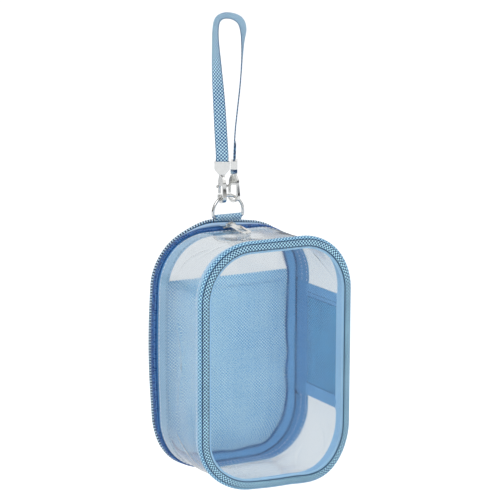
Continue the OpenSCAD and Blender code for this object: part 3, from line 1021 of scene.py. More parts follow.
@dataclass
class Walls:
    """The clear vinyl: both panels and the gusset."""

    outline: Outline
    sizes: Sizes
    panel_bulge: float = 0.7
    ripple: float = 0.5
    calm_edge: float = 12.0
    edge_gap: float = 0.01
    panel_grid: tuple[int, int] = (97, 65)
    gusset_spacing: float = 1.1
    gusset_cols: int = 55
    creases: tuple[Crease, ...] = (
        Crease((187.0, 31.0), (160.0, 52.0), 0.5, 1.1, 2.5),
        Crease((176.0, 44.0), (150.0, 58.0), 0.35, 1.2, -2.0),
        Crease((215.0, 30.0), (262.0, 44.0), 0.3, 1.6, 3.0),
        Crease((226.0, 52.0), (290.0, 34.0), 0.3, 1.5, -3.0),
        Crease((292.0, 30.0), (330.0, 55.0), 0.4, 1.3, 2.0),
        Crease((118.0, 28.0), (142.0, 50.0), 0.3, 1.4, 2.0),
        Crease((70.0, 30.0), (50.0, 56.0), 0.45, 1.1, 1.5),
        Crease((440.0, 34.0), (420.0, 60.0), 0.45, 1.1, -2.0),
        Crease((425.0, 30.0), (398.0, 52.0), 0.35, 1.3, 2.0),
    )

    def panel_points(
        self, low: float, high: float, inset: float, ahead: Callable[[np.ndarray, np.ndarray], np.ndarray]
    ) -> tuple[np.ndarray, np.ndarray, np.ndarray]:
        """A grid over the panels' outline between two heights.

        The rows are crowded at the ends by a sine, where the corners turn, and each row runs from
        side to side. ahead gives the distance forwards at a place.

        Returns:
            (rows, columns, 3) points, the rows' heights and the columns' distances on the map.
        """
        o = self.outline
        reach = o.height / 2 - inset
        rows, cols = self.panel_grid
        turn = np.linspace(math.asin(low / reach), math.asin(high / reach), rows)
        z = (reach * np.sin(turn))[:, None]
        share = np.linspace(-1, 1, cols)[None, :]
        x = share * o.half_width(z, inset)
        z = np.broadcast_to(z, x.shape)
        return o.hung(x, ahead(x, z), z), z[:, 0], share[0] * (o.width / 2 - inset)

    def bulge(self, x: np.ndarray, z: np.ndarray) -> np.ndarray:
        """How far a panel stands out: a low dome with three slow waves."""
        o = self.outline
        dome = (1 - (2 * x / o.width) ** 2) * (1 - (2 * z / o.height) ** 2)
        waves = np.sin(x / 17 + 0.6) * np.sin(z / 26 + 1.1) + 0.5 * np.sin((x + z) / 13)
        return dome * (self.panel_bulge + self.ripple * 0.5 * waves)

    def panel(self, name: str, seam: Seam) -> bpy.types.Object:
        """One clear panel."""
        o, v = self.outline, self.sizes.vinyl
        half = o.height / 2 - self.edge_gap
        near, far, share = (o.deep, o.deep - v, 1.0) if seam is Seam.FRONT else (0.0, v, -0.5)
        points, rows, cols = self.panel_points(-half, half, 0.0, lambda x, z: near + share * self.bulge(x, z))
        others = self.panel_points(-half, half, 0.0, lambda x, z: far + share * self.bulge(x, z))[0]
        return shell(name, points, others, rows, cols, closed=False)

    def gusset_wave(self, s: np.ndarray, ahead: np.ndarray) -> np.ndarray:
        """How far the gusset's vinyl sinks or swells: slow waves round the wall, still at its edges."""
        o, z = self.outline, self.sizes
        calm = hump(ahead, z.front_tape_end + 1, o.deep - z.seam_tape, self.calm_edge)
        calm = calm * hump(s, z.hinge_top, o.round - z.hinge_bottom, self.calm_edge)
        waves = np.sin(s / 9.5) * np.sin(ahead / 11 + s / 31) + 0.7 * np.sin(s / 23 + ahead / 19 + 1)
        ridges = sum(crease.ridge(s, ahead) for crease in self.creases)
        return calm * (self.ripple * waves - ridges)

    def gusset(self) -> bpy.types.Object:
        """The clear wall, open at the hinge cloth's window."""
        o, z = self.outline, self.sizes
        start = z.hinge_top - z.hinge_hem
        end = o.round - (z.hinge_bottom - z.hinge_hem)
        s = o.steps(self.gusset_spacing, start, end)[:, None]
        ahead = np.linspace(z.vinyl_start, o.deep - z.vinyl, self.gusset_cols)[None, :]
        wave = self.gusset_wave(s, ahead)
        return o.lining("clear_gusset", s, ahead, wave, wave + z.vinyl, closed=False)

    def build(self, dresser: Dresser) -> None:
        """Makes and dresses the three clear pieces."""
        for piece, body, node in (
            (self.panel("clear_back", Seam.BACK), Body.BACK, "back_panel"),
            (self.panel("clear_front", Seam.FRONT), Body.FRONT, "front_panel"),
            (self.gusset(), Body.FRONT, "gusset"),
        ):
            dresser.dress(piece, "vinyl", body, [node])


@dataclass
class Pipings:
    """The covered cord on both seams, the front cover's flange, and dark rows of stitches and a dark strip
    that paint the shade in the seams' creases.
    """

    outline: Outline
    sizes: Sizes
    spacing: float = 1.5
    arc_points: int = 22
    sink: float = 0.02
    joint_front: float = 0.775
    joint_back: float = 0.62
    joint_lift: float = 0.12
    joint_long: float = 9.0
    channel: float = 0.9
    channel_rise: float = 0.12

    @property
    def turns(self) -> tuple[np.ndarray, np.ndarray]:
        """Distances round the outline, as a column and with the closing one for the map."""
        s = self.outline.steps(self.spacing)
        return s[:, None], np.append(s, self.outline.round)

    def overlap(self, s: np.ndarray, angle: np.ndarray, joint: float) -> np.ndarray:
        """How far the cover's overlapping end lifts it past its joint, along a slanted line."""
        past = (s - joint * self.outline.round) + 2.5 * angle[None, :] / math.pi
        return self.joint_lift * hump(past, 0, self.joint_long, 0.6)

    def front_cord(self) -> bpy.types.Object:
        """The front seam's covered cord, which lies against the wall behind the corner."""
        o, z = self.outline, self.sizes
        s, turn = self.turns
        reach = math.acos(-z.piping_out / z.piping)
        angle = np.linspace(-reach, reach, self.arc_points)
        radius = z.piping + self.overlap(s, angle, self.joint_front)
        depth = np.minimum(-z.piping_out - radius * np.cos(angle), self.sink)
        rings = o.place(s, depth, o.deep - z.piping_back + radius * np.sin(angle))
        around = np.append(angle, angle[-1] + 0.5) * z.piping
        return tube("front_piping_cover", rings, turn, around, closed=True)

    def lip(self) -> bpy.types.Object:
        """The cover's flange, from under the cord round the corner to the front panel's edge."""
        o, z = self.outline, self.sizes
        s, turn = self.turns
        t = z.lip_thick
        bend = np.linspace(0, math.pi / 2, 7)
        flat = np.linspace(0.3, 1, 8)
        dome = t + 0.2 * np.sin(np.pi * flat) - 0.5 * t * flat**8
        depth = np.concatenate([[-t, -t], -t * np.cos(bend), flat * z.lip_wide])
        front = np.concatenate([[-1.9, -0.7], t * np.sin(bend), dome])
        low_depth = np.concatenate([[0.02, 0.02], 0.1 - 0.08 * np.cos(bend), flat * z.lip_wide])
        low_front = np.concatenate([[-1.9, -0.7], 0.08 * np.sin(bend) - 0.1, 0 * flat - 0.02])
        run = measured(np.stack([depth, front], -1))
        outer = o.place(s, depth[None, :], o.deep + front[None, :])
        inner = o.place(s, low_depth[None, :], o.deep + low_front[None, :])
        return shell("front_piping_flange", outer, inner, turn, run, closed=True)

    def back_cord(self) -> bpy.types.Object:
        """The back seam's piping: round outside, and sunk to the corner of the walls inside."""
        o, z = self.outline, self.sizes
        thick = z.back_piping
        s, turn = self.turns
        meet = math.acos(z.piping_sink / thick)
        angle = np.linspace(-meet, math.pi - math.asin(z.piping_sink / thick), self.arc_points)
        radius = thick + self.overlap(s, angle, self.joint_back)
        out = z.piping_sink - radius * np.cos(angle)
        on = z.piping_sink - radius * np.sin(angle)
        corner = np.full_like(s, self.sink)
        rings = o.place(s, np.concatenate([out, corner], 1), np.concatenate([on, corner], 1))
        around = np.append(angle, [angle[-1] + 0.5, angle[-1] + 1]) * thick * 0.35
        return tube("back_piping_cover", rings, turn, around, closed=True)

    def back_crease_shade(self) -> bpy.types.Object:
        """A dark strip on the wall beside the back piping: painted shade in the crease there, whose weave
        looks like stitches.
        """
        o, z = self.outline, self.sizes
        s, _ = self.turns
        near = z.piping_sink + math.sqrt(z.back_piping**2 - z.piping_sink**2) - 0.35
        across = np.linspace(near, near + self.channel, 4)[None, :]
        outer = np.array([[0.0, -self.channel_rise, -self.channel_rise, 0.0]])
        return o.lining("back_crease_shade", s, across, outer, np.full((1, 4), 0.2), closed=True)

    def stitched_line(self, name: str, depth: float, front: float, radius: float) -> bpy.types.Object:
        """A dark row of stitches round the front seam, in front of the face by a distance, whose dark colour
        paints the shade in the seam's crease.
        """
        o = self.outline
        s, turn = self.turns
        angle = circle(8)[None, :]
        rings = o.place(s, depth + radius * np.cos(angle), o.deep + front + radius * np.sin(angle))
        return tube(name, rings, turn, np.arange(9.0) * radius * 0.8, closed=True)

    def build(self, dresser: Dresser) -> None:
        """Makes and dresses both pipings, the flange, and the rows of stitches and the strip that paint
        crease shade.
        """
        z = self.sizes
        crease = ("front_crease_shade_stitches", -z.lip_thick - 0.1, -1.15, 0.42)
        edge = ("front_edge_shade_stitches", z.lip_wide + 0.25, 0.02, 0.4)
        for piece, finish, body, nodes in (
            (self.front_cord(), "piping", Body.FRONT, ["front_piping"]),
            (self.lip(), "lip", Body.FRONT, []),
            (self.stitched_line(*crease), "channel", Body.FRONT, []),
            (self.stitched_line(*edge), "channel", Body.FRONT, []),
            (self.back_cord(), "back_piping", Body.BACK, ["back_piping"]),
            (self.back_crease_shade(), "channel", Body.BACK, []),
        ):
            dresser.dress(piece, finish, body, nodes)


@dataclass
class Zip:
    """Both halves of the zip tape and both rows of coil teeth."""

    outline: Outline
    sizes: Sizes
    pitch: float = 1.7
    strand: float = 0.42
    head_reach: float = 0.3
    past_hinge: float = 3.0
    tape_spacing: float = 1.8
    tape_thick: float = 0.9
    # shifts the tapes' inner faces on the map past the bands that paint light and shade on their outer faces
    inner_map: float = 200.0

    @property
    def chain(self) -> tuple[float, float]:
        """Where the teeth begin above the hinge cloth and end below it."""
        z = self.sizes
        past = self.past_hinge
        return z.hinge_top + past, self.outline.round - z.hinge_bottom - past

    def ribbon(
        self,
        name: str,
        ahead: np.ndarray,
        depth: Callable[[np.ndarray], np.ndarray],
        start: float,
        end: float,
    ) -> bpy.types.Object:
        """A flat tape along the wall between two places round it, whose depth follows the place."""
        s = self.outline.steps(self.tape_spacing, start, end)[:, None]
        top = depth(s) + 0 * ahead[None, :]
        low = top + self.sizes.cloth * self.tape_thick
        return self.outline.lining(name, s, ahead[None, :], top, low, False, self.inner_map)

    def teeth(self, name: str, from_line: float, heads: int, shift: float) -> bpy.types.Object:
        """A row of coil teeth.

        Each tooth is a strand that climbs from the tape's edge, runs over it to the middle and ends in
        a wider head, which stands between two heads of the other row.

        Args:
            name: the object's name.
            from_line: the row's far edge from the zip's middle line.
            heads: 1 if the row lies in front of the middle line and -1 behind it.
            shift: the row's offset along the chain in pitches.

        Returns:
            The object.
        """
        o, z = self.outline, self.sizes
        start, end = self.chain
        count = int((end - start) / self.pitch)
        centres = start + (np.arange(count) + 0.5 + shift) * (end - start) / count
        away = np.array([from_line, from_line - 0.25, from_line * 0.55, 0.55, 0.1, -self.head_reach])
        rise = np.array([0.1, 0.55, 0.62, 0.6, 0.55, 0.42])
        thick = np.array([0.8, 1.0, 0.9, 0.9, 1.12, 0.75]) * self.strand
        angle = circle(6) + np.pi / 6
        along = (thick[:, None] * np.cos(angle))[None]
        up = (rise[:, None] + thick[:, None] * np.sin(angle) * 0.9)[None]
        ahead = z.zip_line + heads * away[None, :, None] + np.zeros_like(up)
        s = centres[:, None, None] + along
        return repeated(name, o.place(s, -up + 0.05, ahead))

    def build(self, dresser: Dresser) -> None:
        """Makes and dresses the tapes and the teeth."""
        o, z = self.outline, self.sizes
        open_start, open_end = z.hinge_top, o.round - z.hinge_bottom
        rear_across = np.linspace(z.vinyl, z.rear_teeth[1], 9)
        rear = self.ribbon("rear_tape", rear_across, lambda s: 0.02 + 0 * s, open_start, open_end)
        dresser.dress(rear, "rear_tape", Body.BACK, ["rear_zip_tape"])

        def under(s: np.ndarray) -> np.ndarray:
            """The front tape's depth: under the vinyl, and under the hinge cloth where that is."""
            return z.vinyl + 0.02 + (z.cloth + 0.06) * on_hinge(o, z, s)

        front_across = np.linspace(z.front_teeth[0], z.front_tape_end, 17)
        front = self.ribbon("front_tape", front_across, under, 0.0, o.round)
        dresser.dress(front, "front_tape", Body.FRONT, ["front_zip_tape"])
        far = z.zip_gap / 2 + z.coil
        for side, body, heads, shift in (("rear", Body.BACK, -1, 0.0), ("front", Body.FRONT, 1, 0.5)):
            row = self.teeth(f"{side}_coil", far, heads, shift)
            dresser.dress(row, "teeth", body, [f"{side}_zip_teeth"])


@dataclass
class Lining:
    """The cloth inside: the pocket, the binding ribbon, the seam tape and the hinge cloth."""

    outline: Outline
    sizes: Sizes
    walls: Walls
    spacing: float = 1.6
    pocket_slack: float = 0.5
    ribbon_reach: float = 6.3
    ribbon_slope: tuple[float, float] = (0.6, 0.8)
    hinge_bend: tuple[float, float] = (6.4, 9.2)

    def slack(self, x: np.ndarray, h: np.ndarray, low: float) -> np.ndarray:
        """The pocket's slow folds, which grow from its foot towards the open top."""
        rise = climb(h, low, self.sizes.pocket_top - low)
        side = 1 - (2 * x / self.outline.width) ** 4
        return self.pocket_slack * rise * side * (1 + np.sin(x / 14 + h / 40))

    def pocket(self) -> bpy.types.Object:
        """The pocket's cloth, sewn in at its sides and bottom and a little slack at its top."""
        o, z = self.outline, self.sizes
        low = -(o.height / 2 - z.cloth) + 0.01
        base = z.vinyl + 0.05

        def layer(rise: float) -> tuple[np.ndarray, np.ndarray, np.ndarray]:
            """One face of the cloth, at a rise over the panel."""
            lifted = lambda x, h: rise + self.slack(x, h, low)
            return self.walls.panel_points(low, z.pocket_top, z.cloth, lifted)

        front, rows, cols = layer(base + z.cloth)
        return shell("pocket", front, layer(base)[0], rows, cols, closed=False)

    def pocket_fold(self) -> bpy.types.Object:
        """The pocket's folded hem: a second layer with a soft upper edge."""
        o, z = self.outline, self.sizes
        half = o.width / 2 - z.cloth - z.binding + 1.0
        x = np.linspace(-half, half, 81)[:, None]
        h = np.linspace(z.pocket_top - z.pocket_hem, z.pocket_top + 0.15, 13)[None, :]
        slack = self.slack(x, h, -(o.height / 2 - z.cloth))
        puff = 0.35 * np.sin(np.pi * np.clip((h - h[0, 0]) / z.pocket_hem, 0, 1)) ** 0.5
        base = z.vinyl + 0.05 + z.cloth + slack
        front = o.hung(x, base + z.cloth * 0.7 + puff, h)
        return shell("pocket_top_fold", front, o.hung(x, base + 0 * puff, h), x[:, 0], h[0], False)

    def binding(self) -> bpy.types.Object:
        """The ribbon that binds the back seam inside: it lies on the panel and turns up onto the wall."""
        o, z = self.outline, self.sizes
        s = o.steps(self.spacing)[:, None]
        share = np.linspace(0, 1, 15)[None, :]
        wave = 0.8 * np.sin(s / 21) * np.sin(s / 8.3) + 0.35 * np.sin(s / 4.1)
        turn = share * np.pi / 2
        depth = z.cloth + 0.1 + (self.ribbon_reach + wave) * (1 - np.sin(turn))
        rise = (z.binding_rise + 0.6 * wave) * (1 - np.cos(turn))
        puff = 0.8 * np.sin(np.pi * share) ** 0.6 * (1 + 0.3 * np.sin(s / 17))
        ahead = z.vinyl + z.cloth + 0.1
        inwards, forwards = self.ribbon_slope
        thick = z.cloth + puff
        outer = o.place(s, depth + thick * inwards, ahead + rise + thick * forwards)
        inner = o.place(s, depth, ahead + rise)
        return shell("seam_ribbon", outer, inner, np.append(s, o.round), share[0] * z.binding, True)

    def seam_tape(self) -> bpy.types.Object:
        """The tape inside the front seam, which passes over the hinge cloth on the right side."""
        o, z = self.outline, self.sizes
        s = o.steps(self.spacing)[:, None]
        end = o.deep - z.vinyl
        ahead = np.linspace(end - z.seam_tape, end, 13)[None, :]
        puff = 0.3 * np.sin(np.pi * (ahead - ahead[0, 0]) / z.seam_tape) * np.sin(s / 13)
        depth = z.vinyl + 0.03 + (z.cloth + 0.05) * on_hinge(o, z, s)
        inner = depth + z.cloth + 0.3 + puff
        return o.lining("front_seam_tape_cloth", s, ahead, depth + 0 * ahead, inner, closed=True)

    def seam_border(self) -> bpy.types.Object:
        """The tape's turned edge, which lies on the inside of the front panel."""
        o, z = self.outline, self.sizes
        s = o.steps(self.spacing)[:, None]
        depth = np.linspace(z.vinyl, z.vinyl + z.cloth + z.front_border, 7)[None, :]
        end = o.deep - z.vinyl - 0.03
        outer = o.place(s, depth, end)
        inner = o.place(s, depth, end - z.cloth)
        return shell("front_seam_border", outer, inner, np.append(s, o.round), depth[0], True)

    def hinge(self) -> bpy.types.Object:
        """The hinge cloth: one sheet from the back seam to the front seam on the right side.

        It lies flush with the zip's plane at the back, steps in under the vinyl's edges, and has slow
        folds across its window.
        """
        o, z = self.outline, self.sizes
        near = np.linspace(z.vinyl, 6.0, 8)
        bend = np.linspace(6.3, 9.4, 12)
        far = np.linspace(9.8, o.deep - z.vinyl - z.cloth, 56)
        ahead = np.concatenate([near, bend, far])[None, :]
        s = np.linspace(-z.hinge_bottom, z.hinge_top, 81)[:, None]
        step = (z.vinyl + 0.04) * smooth_step((ahead - z.vinyl_start + 1.2) / 1.2)
        calm = hump(ahead, z.front_tape_end, o.deep - z.seam_tape, 10)
        calm = calm * hump(s, z.hinge_hem - z.hinge_bottom, z.hinge_top - z.hinge_hem, 9)
        fold = 0.5 * calm * (1 + np.sin(s / 9 + ahead / 14))
        depth = step + fold
        return o.lining("hinge_panel", s, ahead, depth, depth + z.cloth, closed=False)

    def hinge_fold(self, name: str, low: float, high: float) -> bpy.types.Object:
        """A folded hem on the inside of the hinge cloth."""
        o, z = self.outline, self.sizes
        s = np.linspace(low, high, 11)[:, None]
        ahead = np.linspace(z.front_tape_end - 1, o.deep - z.vinyl - z.seam_tape + 1, 41)[None, :]
        puff = 0.5 * np.sin(np.pi * (s - low) / (high - low)) ** 0.5 * (1 + 0.2 * np.sin(ahead / 7))
        depth = z.vinyl + z.cloth + 0.1
        return o.lining(name, s, ahead, depth + 0 * ahead, depth + z.cloth * 0.6 + puff, closed=False)

    def build(self, dresser: Dresser) -> None:
        """Makes and dresses the cloth."""
        o, z = self.outline, self.sizes
        pocket = dresser.dress(self.pocket(), "pocket", Body.BACK, ["back_pocket"])
        fold = dresser.dress(self.pocket_fold(), "pocket", Body.BACK, ["pocket_hem"])
        dresser.dress(self.binding(), "binding", Body.BACK, ["back_binding"])
        dresser.dress(self.seam_tape(), "seam_tape", Body.FRONT, ["front_seam_tape"])
        dresser.dress(self.seam_border(), "seam_tape", Body.FRONT)
        hinge = self.hinge()
        nodes = ["hinge_cloth", "rear_hinge_cloth"]
        dresser.dress(hinge, "hinge", Body.FRONT, nodes, ride=False)
        folds = [
            self.hinge_fold("hinge_top_hem", z.hinge_top - z.hinge_hem, z.hinge_top),
            self.hinge_fold("hinge_bottom_hem", -z.hinge_bottom, z.hinge_hem - z.hinge_bottom),
        ]
        dresser.dress(folds[0], "hem", Body.FRONT, ["hinge_hems"])
        dresser.dress(folds[1], "hem", Body.FRONT)
        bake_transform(hinge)


@dataclass
class Stitching:
    """Rows of thread along the tapes and hems."""

    outline: Outline
    sizes: Sizes
    length: float = 2.1
    spacing: float = 2.9
    radius: float = 0.2
    flatness: float = 0.8

    def line(self, start: float, end: float, thick: float = 1.0) -> tuple[np.ndarray, np.ndarray, np.ndarray]:
        """Stitches between two distances: their places along, how far they stand up, and across."""
        count = int((end - start) / self.spacing)
        centres = start + (np.arange(count) + 0.5) * (end - start) / count
        one = bead(self.length, self.radius * thick)[None]
        return centres[:, None, None] + one[..., 0], one[..., 1] * self.flatness, one[..., 2]

    def row(self, start: float, end: float, depth: float, ahead: float) -> np.ndarray:
        """Stitches along the wall at one depth and distance forwards."""
        along, up, across = self.line(start, end)
        return self.outline.place(along, depth - up, ahead + across)

    def flat_row(self, start: float, end: float, ahead: float, height: float) -> np.ndarray:
        """Stitches along a level line on the back panel."""
        along, up, across = self.line(start, end)
        return self.outline.hung(along, ahead + up, height + across)

    def cross_row(self, s: float, depth: float, start: float, end: float) -> np.ndarray:
        """Stitches across the wall, from one distance forwards to another."""
        along, up, across = self.line(start, end, 1.2)
        return self.outline.place(s + across, depth + up, along)

    def build(self, dresser: Dresser) -> None:
        """Makes and dresses the rows of thread."""
        o, z = self.outline, self.sizes
        start, end = z.hinge_top - z.hinge_hem + 1, o.round - z.hinge_bottom + z.hinge_hem - 1
        outside, inside = -0.02, z.vinyl + z.cloth + 0.45
        edge = self.row(start, end, outside, z.front_tape_end - 0.9)
        dresser.dress(repeated("tape_edge_stitches", edge), "grey_thread", Body.FRONT)
        lines = (
            (outside, z.vinyl_start + 1.6),
            (outside, o.deep - z.seam_tape + 0.8),
            (inside, z.vinyl_start + 1.6),
            (inside, z.front_tape_end - 1.6),
        )
        zip_rows = np.concatenate([self.row(start, end, depth, ahead) for depth, ahead in lines])
        dresser.dress(repeated("wall_stitches", zip_rows), "thread", Body.FRONT)
        # painted shade: the dark thread at the hems' edges stands for the shade line along each hem as well
        # as its stitching
        first, last = z.front_tape_end, o.deep - z.vinyl - z.seam_tape
        hem = z.vinyl + 1.6 * z.cloth
        places = (
            (z.hinge_top - z.hinge_hem - 0.2, 0.1),
            (z.hinge_top - z.hinge_hem + 3.0, 0.6),
            (z.hinge_hem - z.hinge_bottom + 0.2, 0.1),
        )
        hem_rows = np.concatenate([self.cross_row(s, hem + up, first, last) for s, up in places])
        dresser.dress(repeated("hinge_hem_shade_stitches", hem_rows), "dark_thread", Body.FRONT)
        half = o.width / 2 - z.cloth - z.binding
        ahead = z.vinyl + 2 * z.cloth + 1.25
        hem_row = self.flat_row(-half, half, ahead, z.pocket_top - z.pocket_hem + 1.2)
        dresser.dress(repeated("pocket_stitches", hem_row), "blue_thread", Body.BACK)


# ---- strap, ring and metalwork ----


@dataclass
class Strap:
    """The webbing loop, its folded end and the cloth tab that holds the ring."""

    width: float = 8.8
    thick: float = 0.95
    squareness: tuple[float, float] = (0.45, 0.55)
    turn: float = 29.0
    end_heights: tuple[float, ...] = (-103.0, -99.0, -95.0)
    middle: tuple[tuple[float, float, float, float], ...] = (
        (-5.0, -2.2, -80.0, 86.0),
        (-6.3, -1.6, -58.0, 72.0),
        (-7.7, -0.8, -38.0, 54.0),
        (-8.7, -0.3, -19.0, 34.0),
        (-8.8, 0.0, -9.0, 28.0),
        (-7.4, 0.0, -2.0, 26.0),
        (-3.0, 0.0, 1.1, 22.0),
        (3.4, 0.0, 0.6, 24.0),
        (8.3, 0.0, -2.5, 30.0),
        (10.3, 0.0, -8.5, 28.0),
        (10.0, 0.2, -17.0, 12.0),
        (9.4, 0.5, -30.0, 2.0),
        (8.2, 1.0, -47.0, 0.0),
        (6.4, 1.5, -64.0, 0.0),
        (4.9, 1.9, -79.0, 0.0),
    )
    steps: int = 9
    fold_knots: tuple[float, float] = (2.55, 1.15)
    fold_rings: int = 12
    fold_shift: float = 0.92
    nudge: float = 0.02

    def route(self) -> np.ndarray:
        """The points that the webbing's middle line passes, in the loop's own frame, with its twist there."""
        clasp_x = np.mean(box("right_crimp"), axis=0)[0]
        turn = math.radians(self.turn)
        foot = np.array([clasp_x * math.cos(turn), clasp_x * math.sin(turn)])
        left_end = [(-foot[0], -foot[1], z, 90.0) for z in self.end_heights]
        right_end = [(foot[0], foot[1], z, 0.0) for z in reversed(self.end_heights)]
        return np.array(left_end + list(self.middle) + right_end)

    def along(self, t: np.ndarray, route: np.ndarray) -> np.ndarray:
        """Points of the smooth line through the route, a cubic through each four points."""
        last = len(route) - 1
        i = np.minimum(np.floor(t).astype(int), last - 1)
        f = (t - i)[:, None]
        a, b, c, d = (route[np.clip(i + k, 0, last)] for k in (-1, 0, 1, 2))
        square = (2 * a - 5 * b + 4 * c - d) * f**2
        return 0.5 * (2 * b + (c - a) * f + square + (3 * b - a - 3 * c + d) * f**3)

    def frame_at(self, t: np.ndarray, route: np.ndarray) -> tuple[np.ndarray, np.ndarray, np.ndarray]:
        """The middle line with its directions across and through the webbing, turned to hang."""
        last = len(route) - 1
        unit = lambda v: v / np.linalg.norm(v, axis=-1, keepdims=True)
        line, turns = route[:, :3], route[:, 3:]
        middle = self.along(t, line)
        after, before = np.minimum(t + self.nudge, last), np.maximum(t - self.nudge, 0)
        ahead = unit(self.along(after, line) - self.along(before, line))
        twist = np.radians(self.along(t, turns))
        flat = unit(np.cross(ahead, [0, 1, 0]))
        wide = np.cos(twist) * unit(np.cross(flat, ahead)) + np.sin(twist) * flat
        deep = np.cross(ahead, wide)
        angle = math.radians(self.turn)
        c, s = math.cos(angle), math.sin(angle)
        spin = np.array([[c, s, 0], [-s, c, 0], [0, 0, 1]])
        return middle @ spin.T, wide @ spin.T, deep @ spin.T

    def section(self, sides: int = 20) -> tuple[np.ndarray, np.ndarray]:
        """The webbing's section: a flat oval with thick, rounded edges, as places across and through."""
        angle = circle(sides)
        c, s = np.cos(angle), np.sin(angle)
        wide, deep = self.squareness
        across = np.sign(c) * np.abs(c) ** wide * self.width / 2
        through = np.sign(s) * np.abs(s) ** deep * self.thick / 2
        return across, through

    def rings(
        self, middle: np.ndarray, wide: np.ndarray, deep: np.ndarray, taper: object = 1.0
    ) -> tuple[np.ndarray, np.ndarray]:
        """The section's points round each place on the middle line, and their map."""
        across, through = self.section()
        flat = middle[:, None] + across[None, :, None] * wide[:, None]
        rings = flat + through[None, :, None] * deep[:, None] * taper
        return rings, np.append(across, across[0])

    def webbing(self) -> tuple[bpy.types.Object, float]:
        """The webbing's loop.

        Returns:
            The object and the length of its middle line in millimetres.
        """
        route = self.route()
        t = np.linspace(0, len(route) - 1, (len(route) - 1) * self.steps + 1)
        middle, wide, deep = self.frame_at(t, route)
        rings, chart = self.rings(middle, wide, deep)
        run = measured(middle)
        return tube("webbing", rings, run, chart, closed=False), float(run[-1])

    def end_fold(self) -> bpy.types.Object:
        """The webbing's turned-back end, above the right crimp."""
        route = self.route()
        last = len(route) - 1
        start, end = self.fold_knots
        t = np.linspace(last - start, last - end, self.fold_rings)
        middle, wide, deep = self.frame_at(t, route)
        taper = (1 - 0.6 * np.linspace(-1, 1, self.fold_rings) ** 6)[:, None, None]
        beside = middle + deep * (self.thick * self.fold_shift)
        rings, chart = self.rings(beside, wide, deep, taper)
        run = np.linspace(0, 10, self.fold_rings)
        return tube("webbing_end_fold", rings, run, chart, closed=False)

    def tab(self) -> tuple[bpy.types.Object, tuple[float, float]]:
        """The cloth tab: two layers that rise from the seam and wrap the ring's bar.

        Returns:
            The object, and its width and length laid flat in millimetres.
        """
        low, high = box("ring_tab")
        ring = box("d_ring")
        ply, bar_r = 0.8, 1.15
        bar_z = high[2] - bar_r - ply
        foot = low[2] - 1.5
        arc = np.linspace(0, np.pi, 15)
        back = 0.9

        def profile(gap: float, radius: float, pinch: float, join: float, neck: float) -> np.ndarray:
            """Up from the seam, round the bar and down again, in the tab's section."""
            points = [(back - gap, foot), (back - gap, bar_z - join), (-radius * pinch, bar_z - neck)]
            points += [(-radius * math.cos(a), bar_z + radius * math.sin(a)) for a in arc]
            points += [(radius * pinch, bar_z - neck), (back + gap, bar_z - join), (back + gap, foot)]
            return np.array(points)

        x = np.linspace(low[0], high[0], 25)[:, None]
        centre_y = (ring[0][1] + ring[1][1]) / 2

        def face(section: np.ndarray) -> np.ndarray:
            """The section carried across the tab."""
            across = np.broadcast_arrays(x, centre_y + section[None, :, 0], section[None, :, 1])
            return np.stack(across, -1)

        inner = profile(0.02, bar_r, 0.75, 3.2, 1.15)
        outer = profile(ply, bar_r + ply, 0.85, 3.4, 1.3)
        run = measured(outer)
        tab = shell("tab_cloth", face(outer), face(inner), x[:, 0], run, closed=False)
        return tab, (float(high[0] - low[0]), float(run[-1]))

    def build(self, dresser: Dresser) -> None:
        """Makes and dresses the strap and the tab."""
        webbing, length = self.webbing()
        dresser.dress(webbing, "webbing", Body.STRAP, ["wrist_strap"])
        LOG.info("webbing: %.1f mm long, %.1f mm wide", length, self.width)
        dresser.dress(self.end_fold(), "webbing", Body.STRAP)
        tab, flat = self.tab()
        dresser.dress(tab, "tab", Body.BACK, ["ring_tab"])


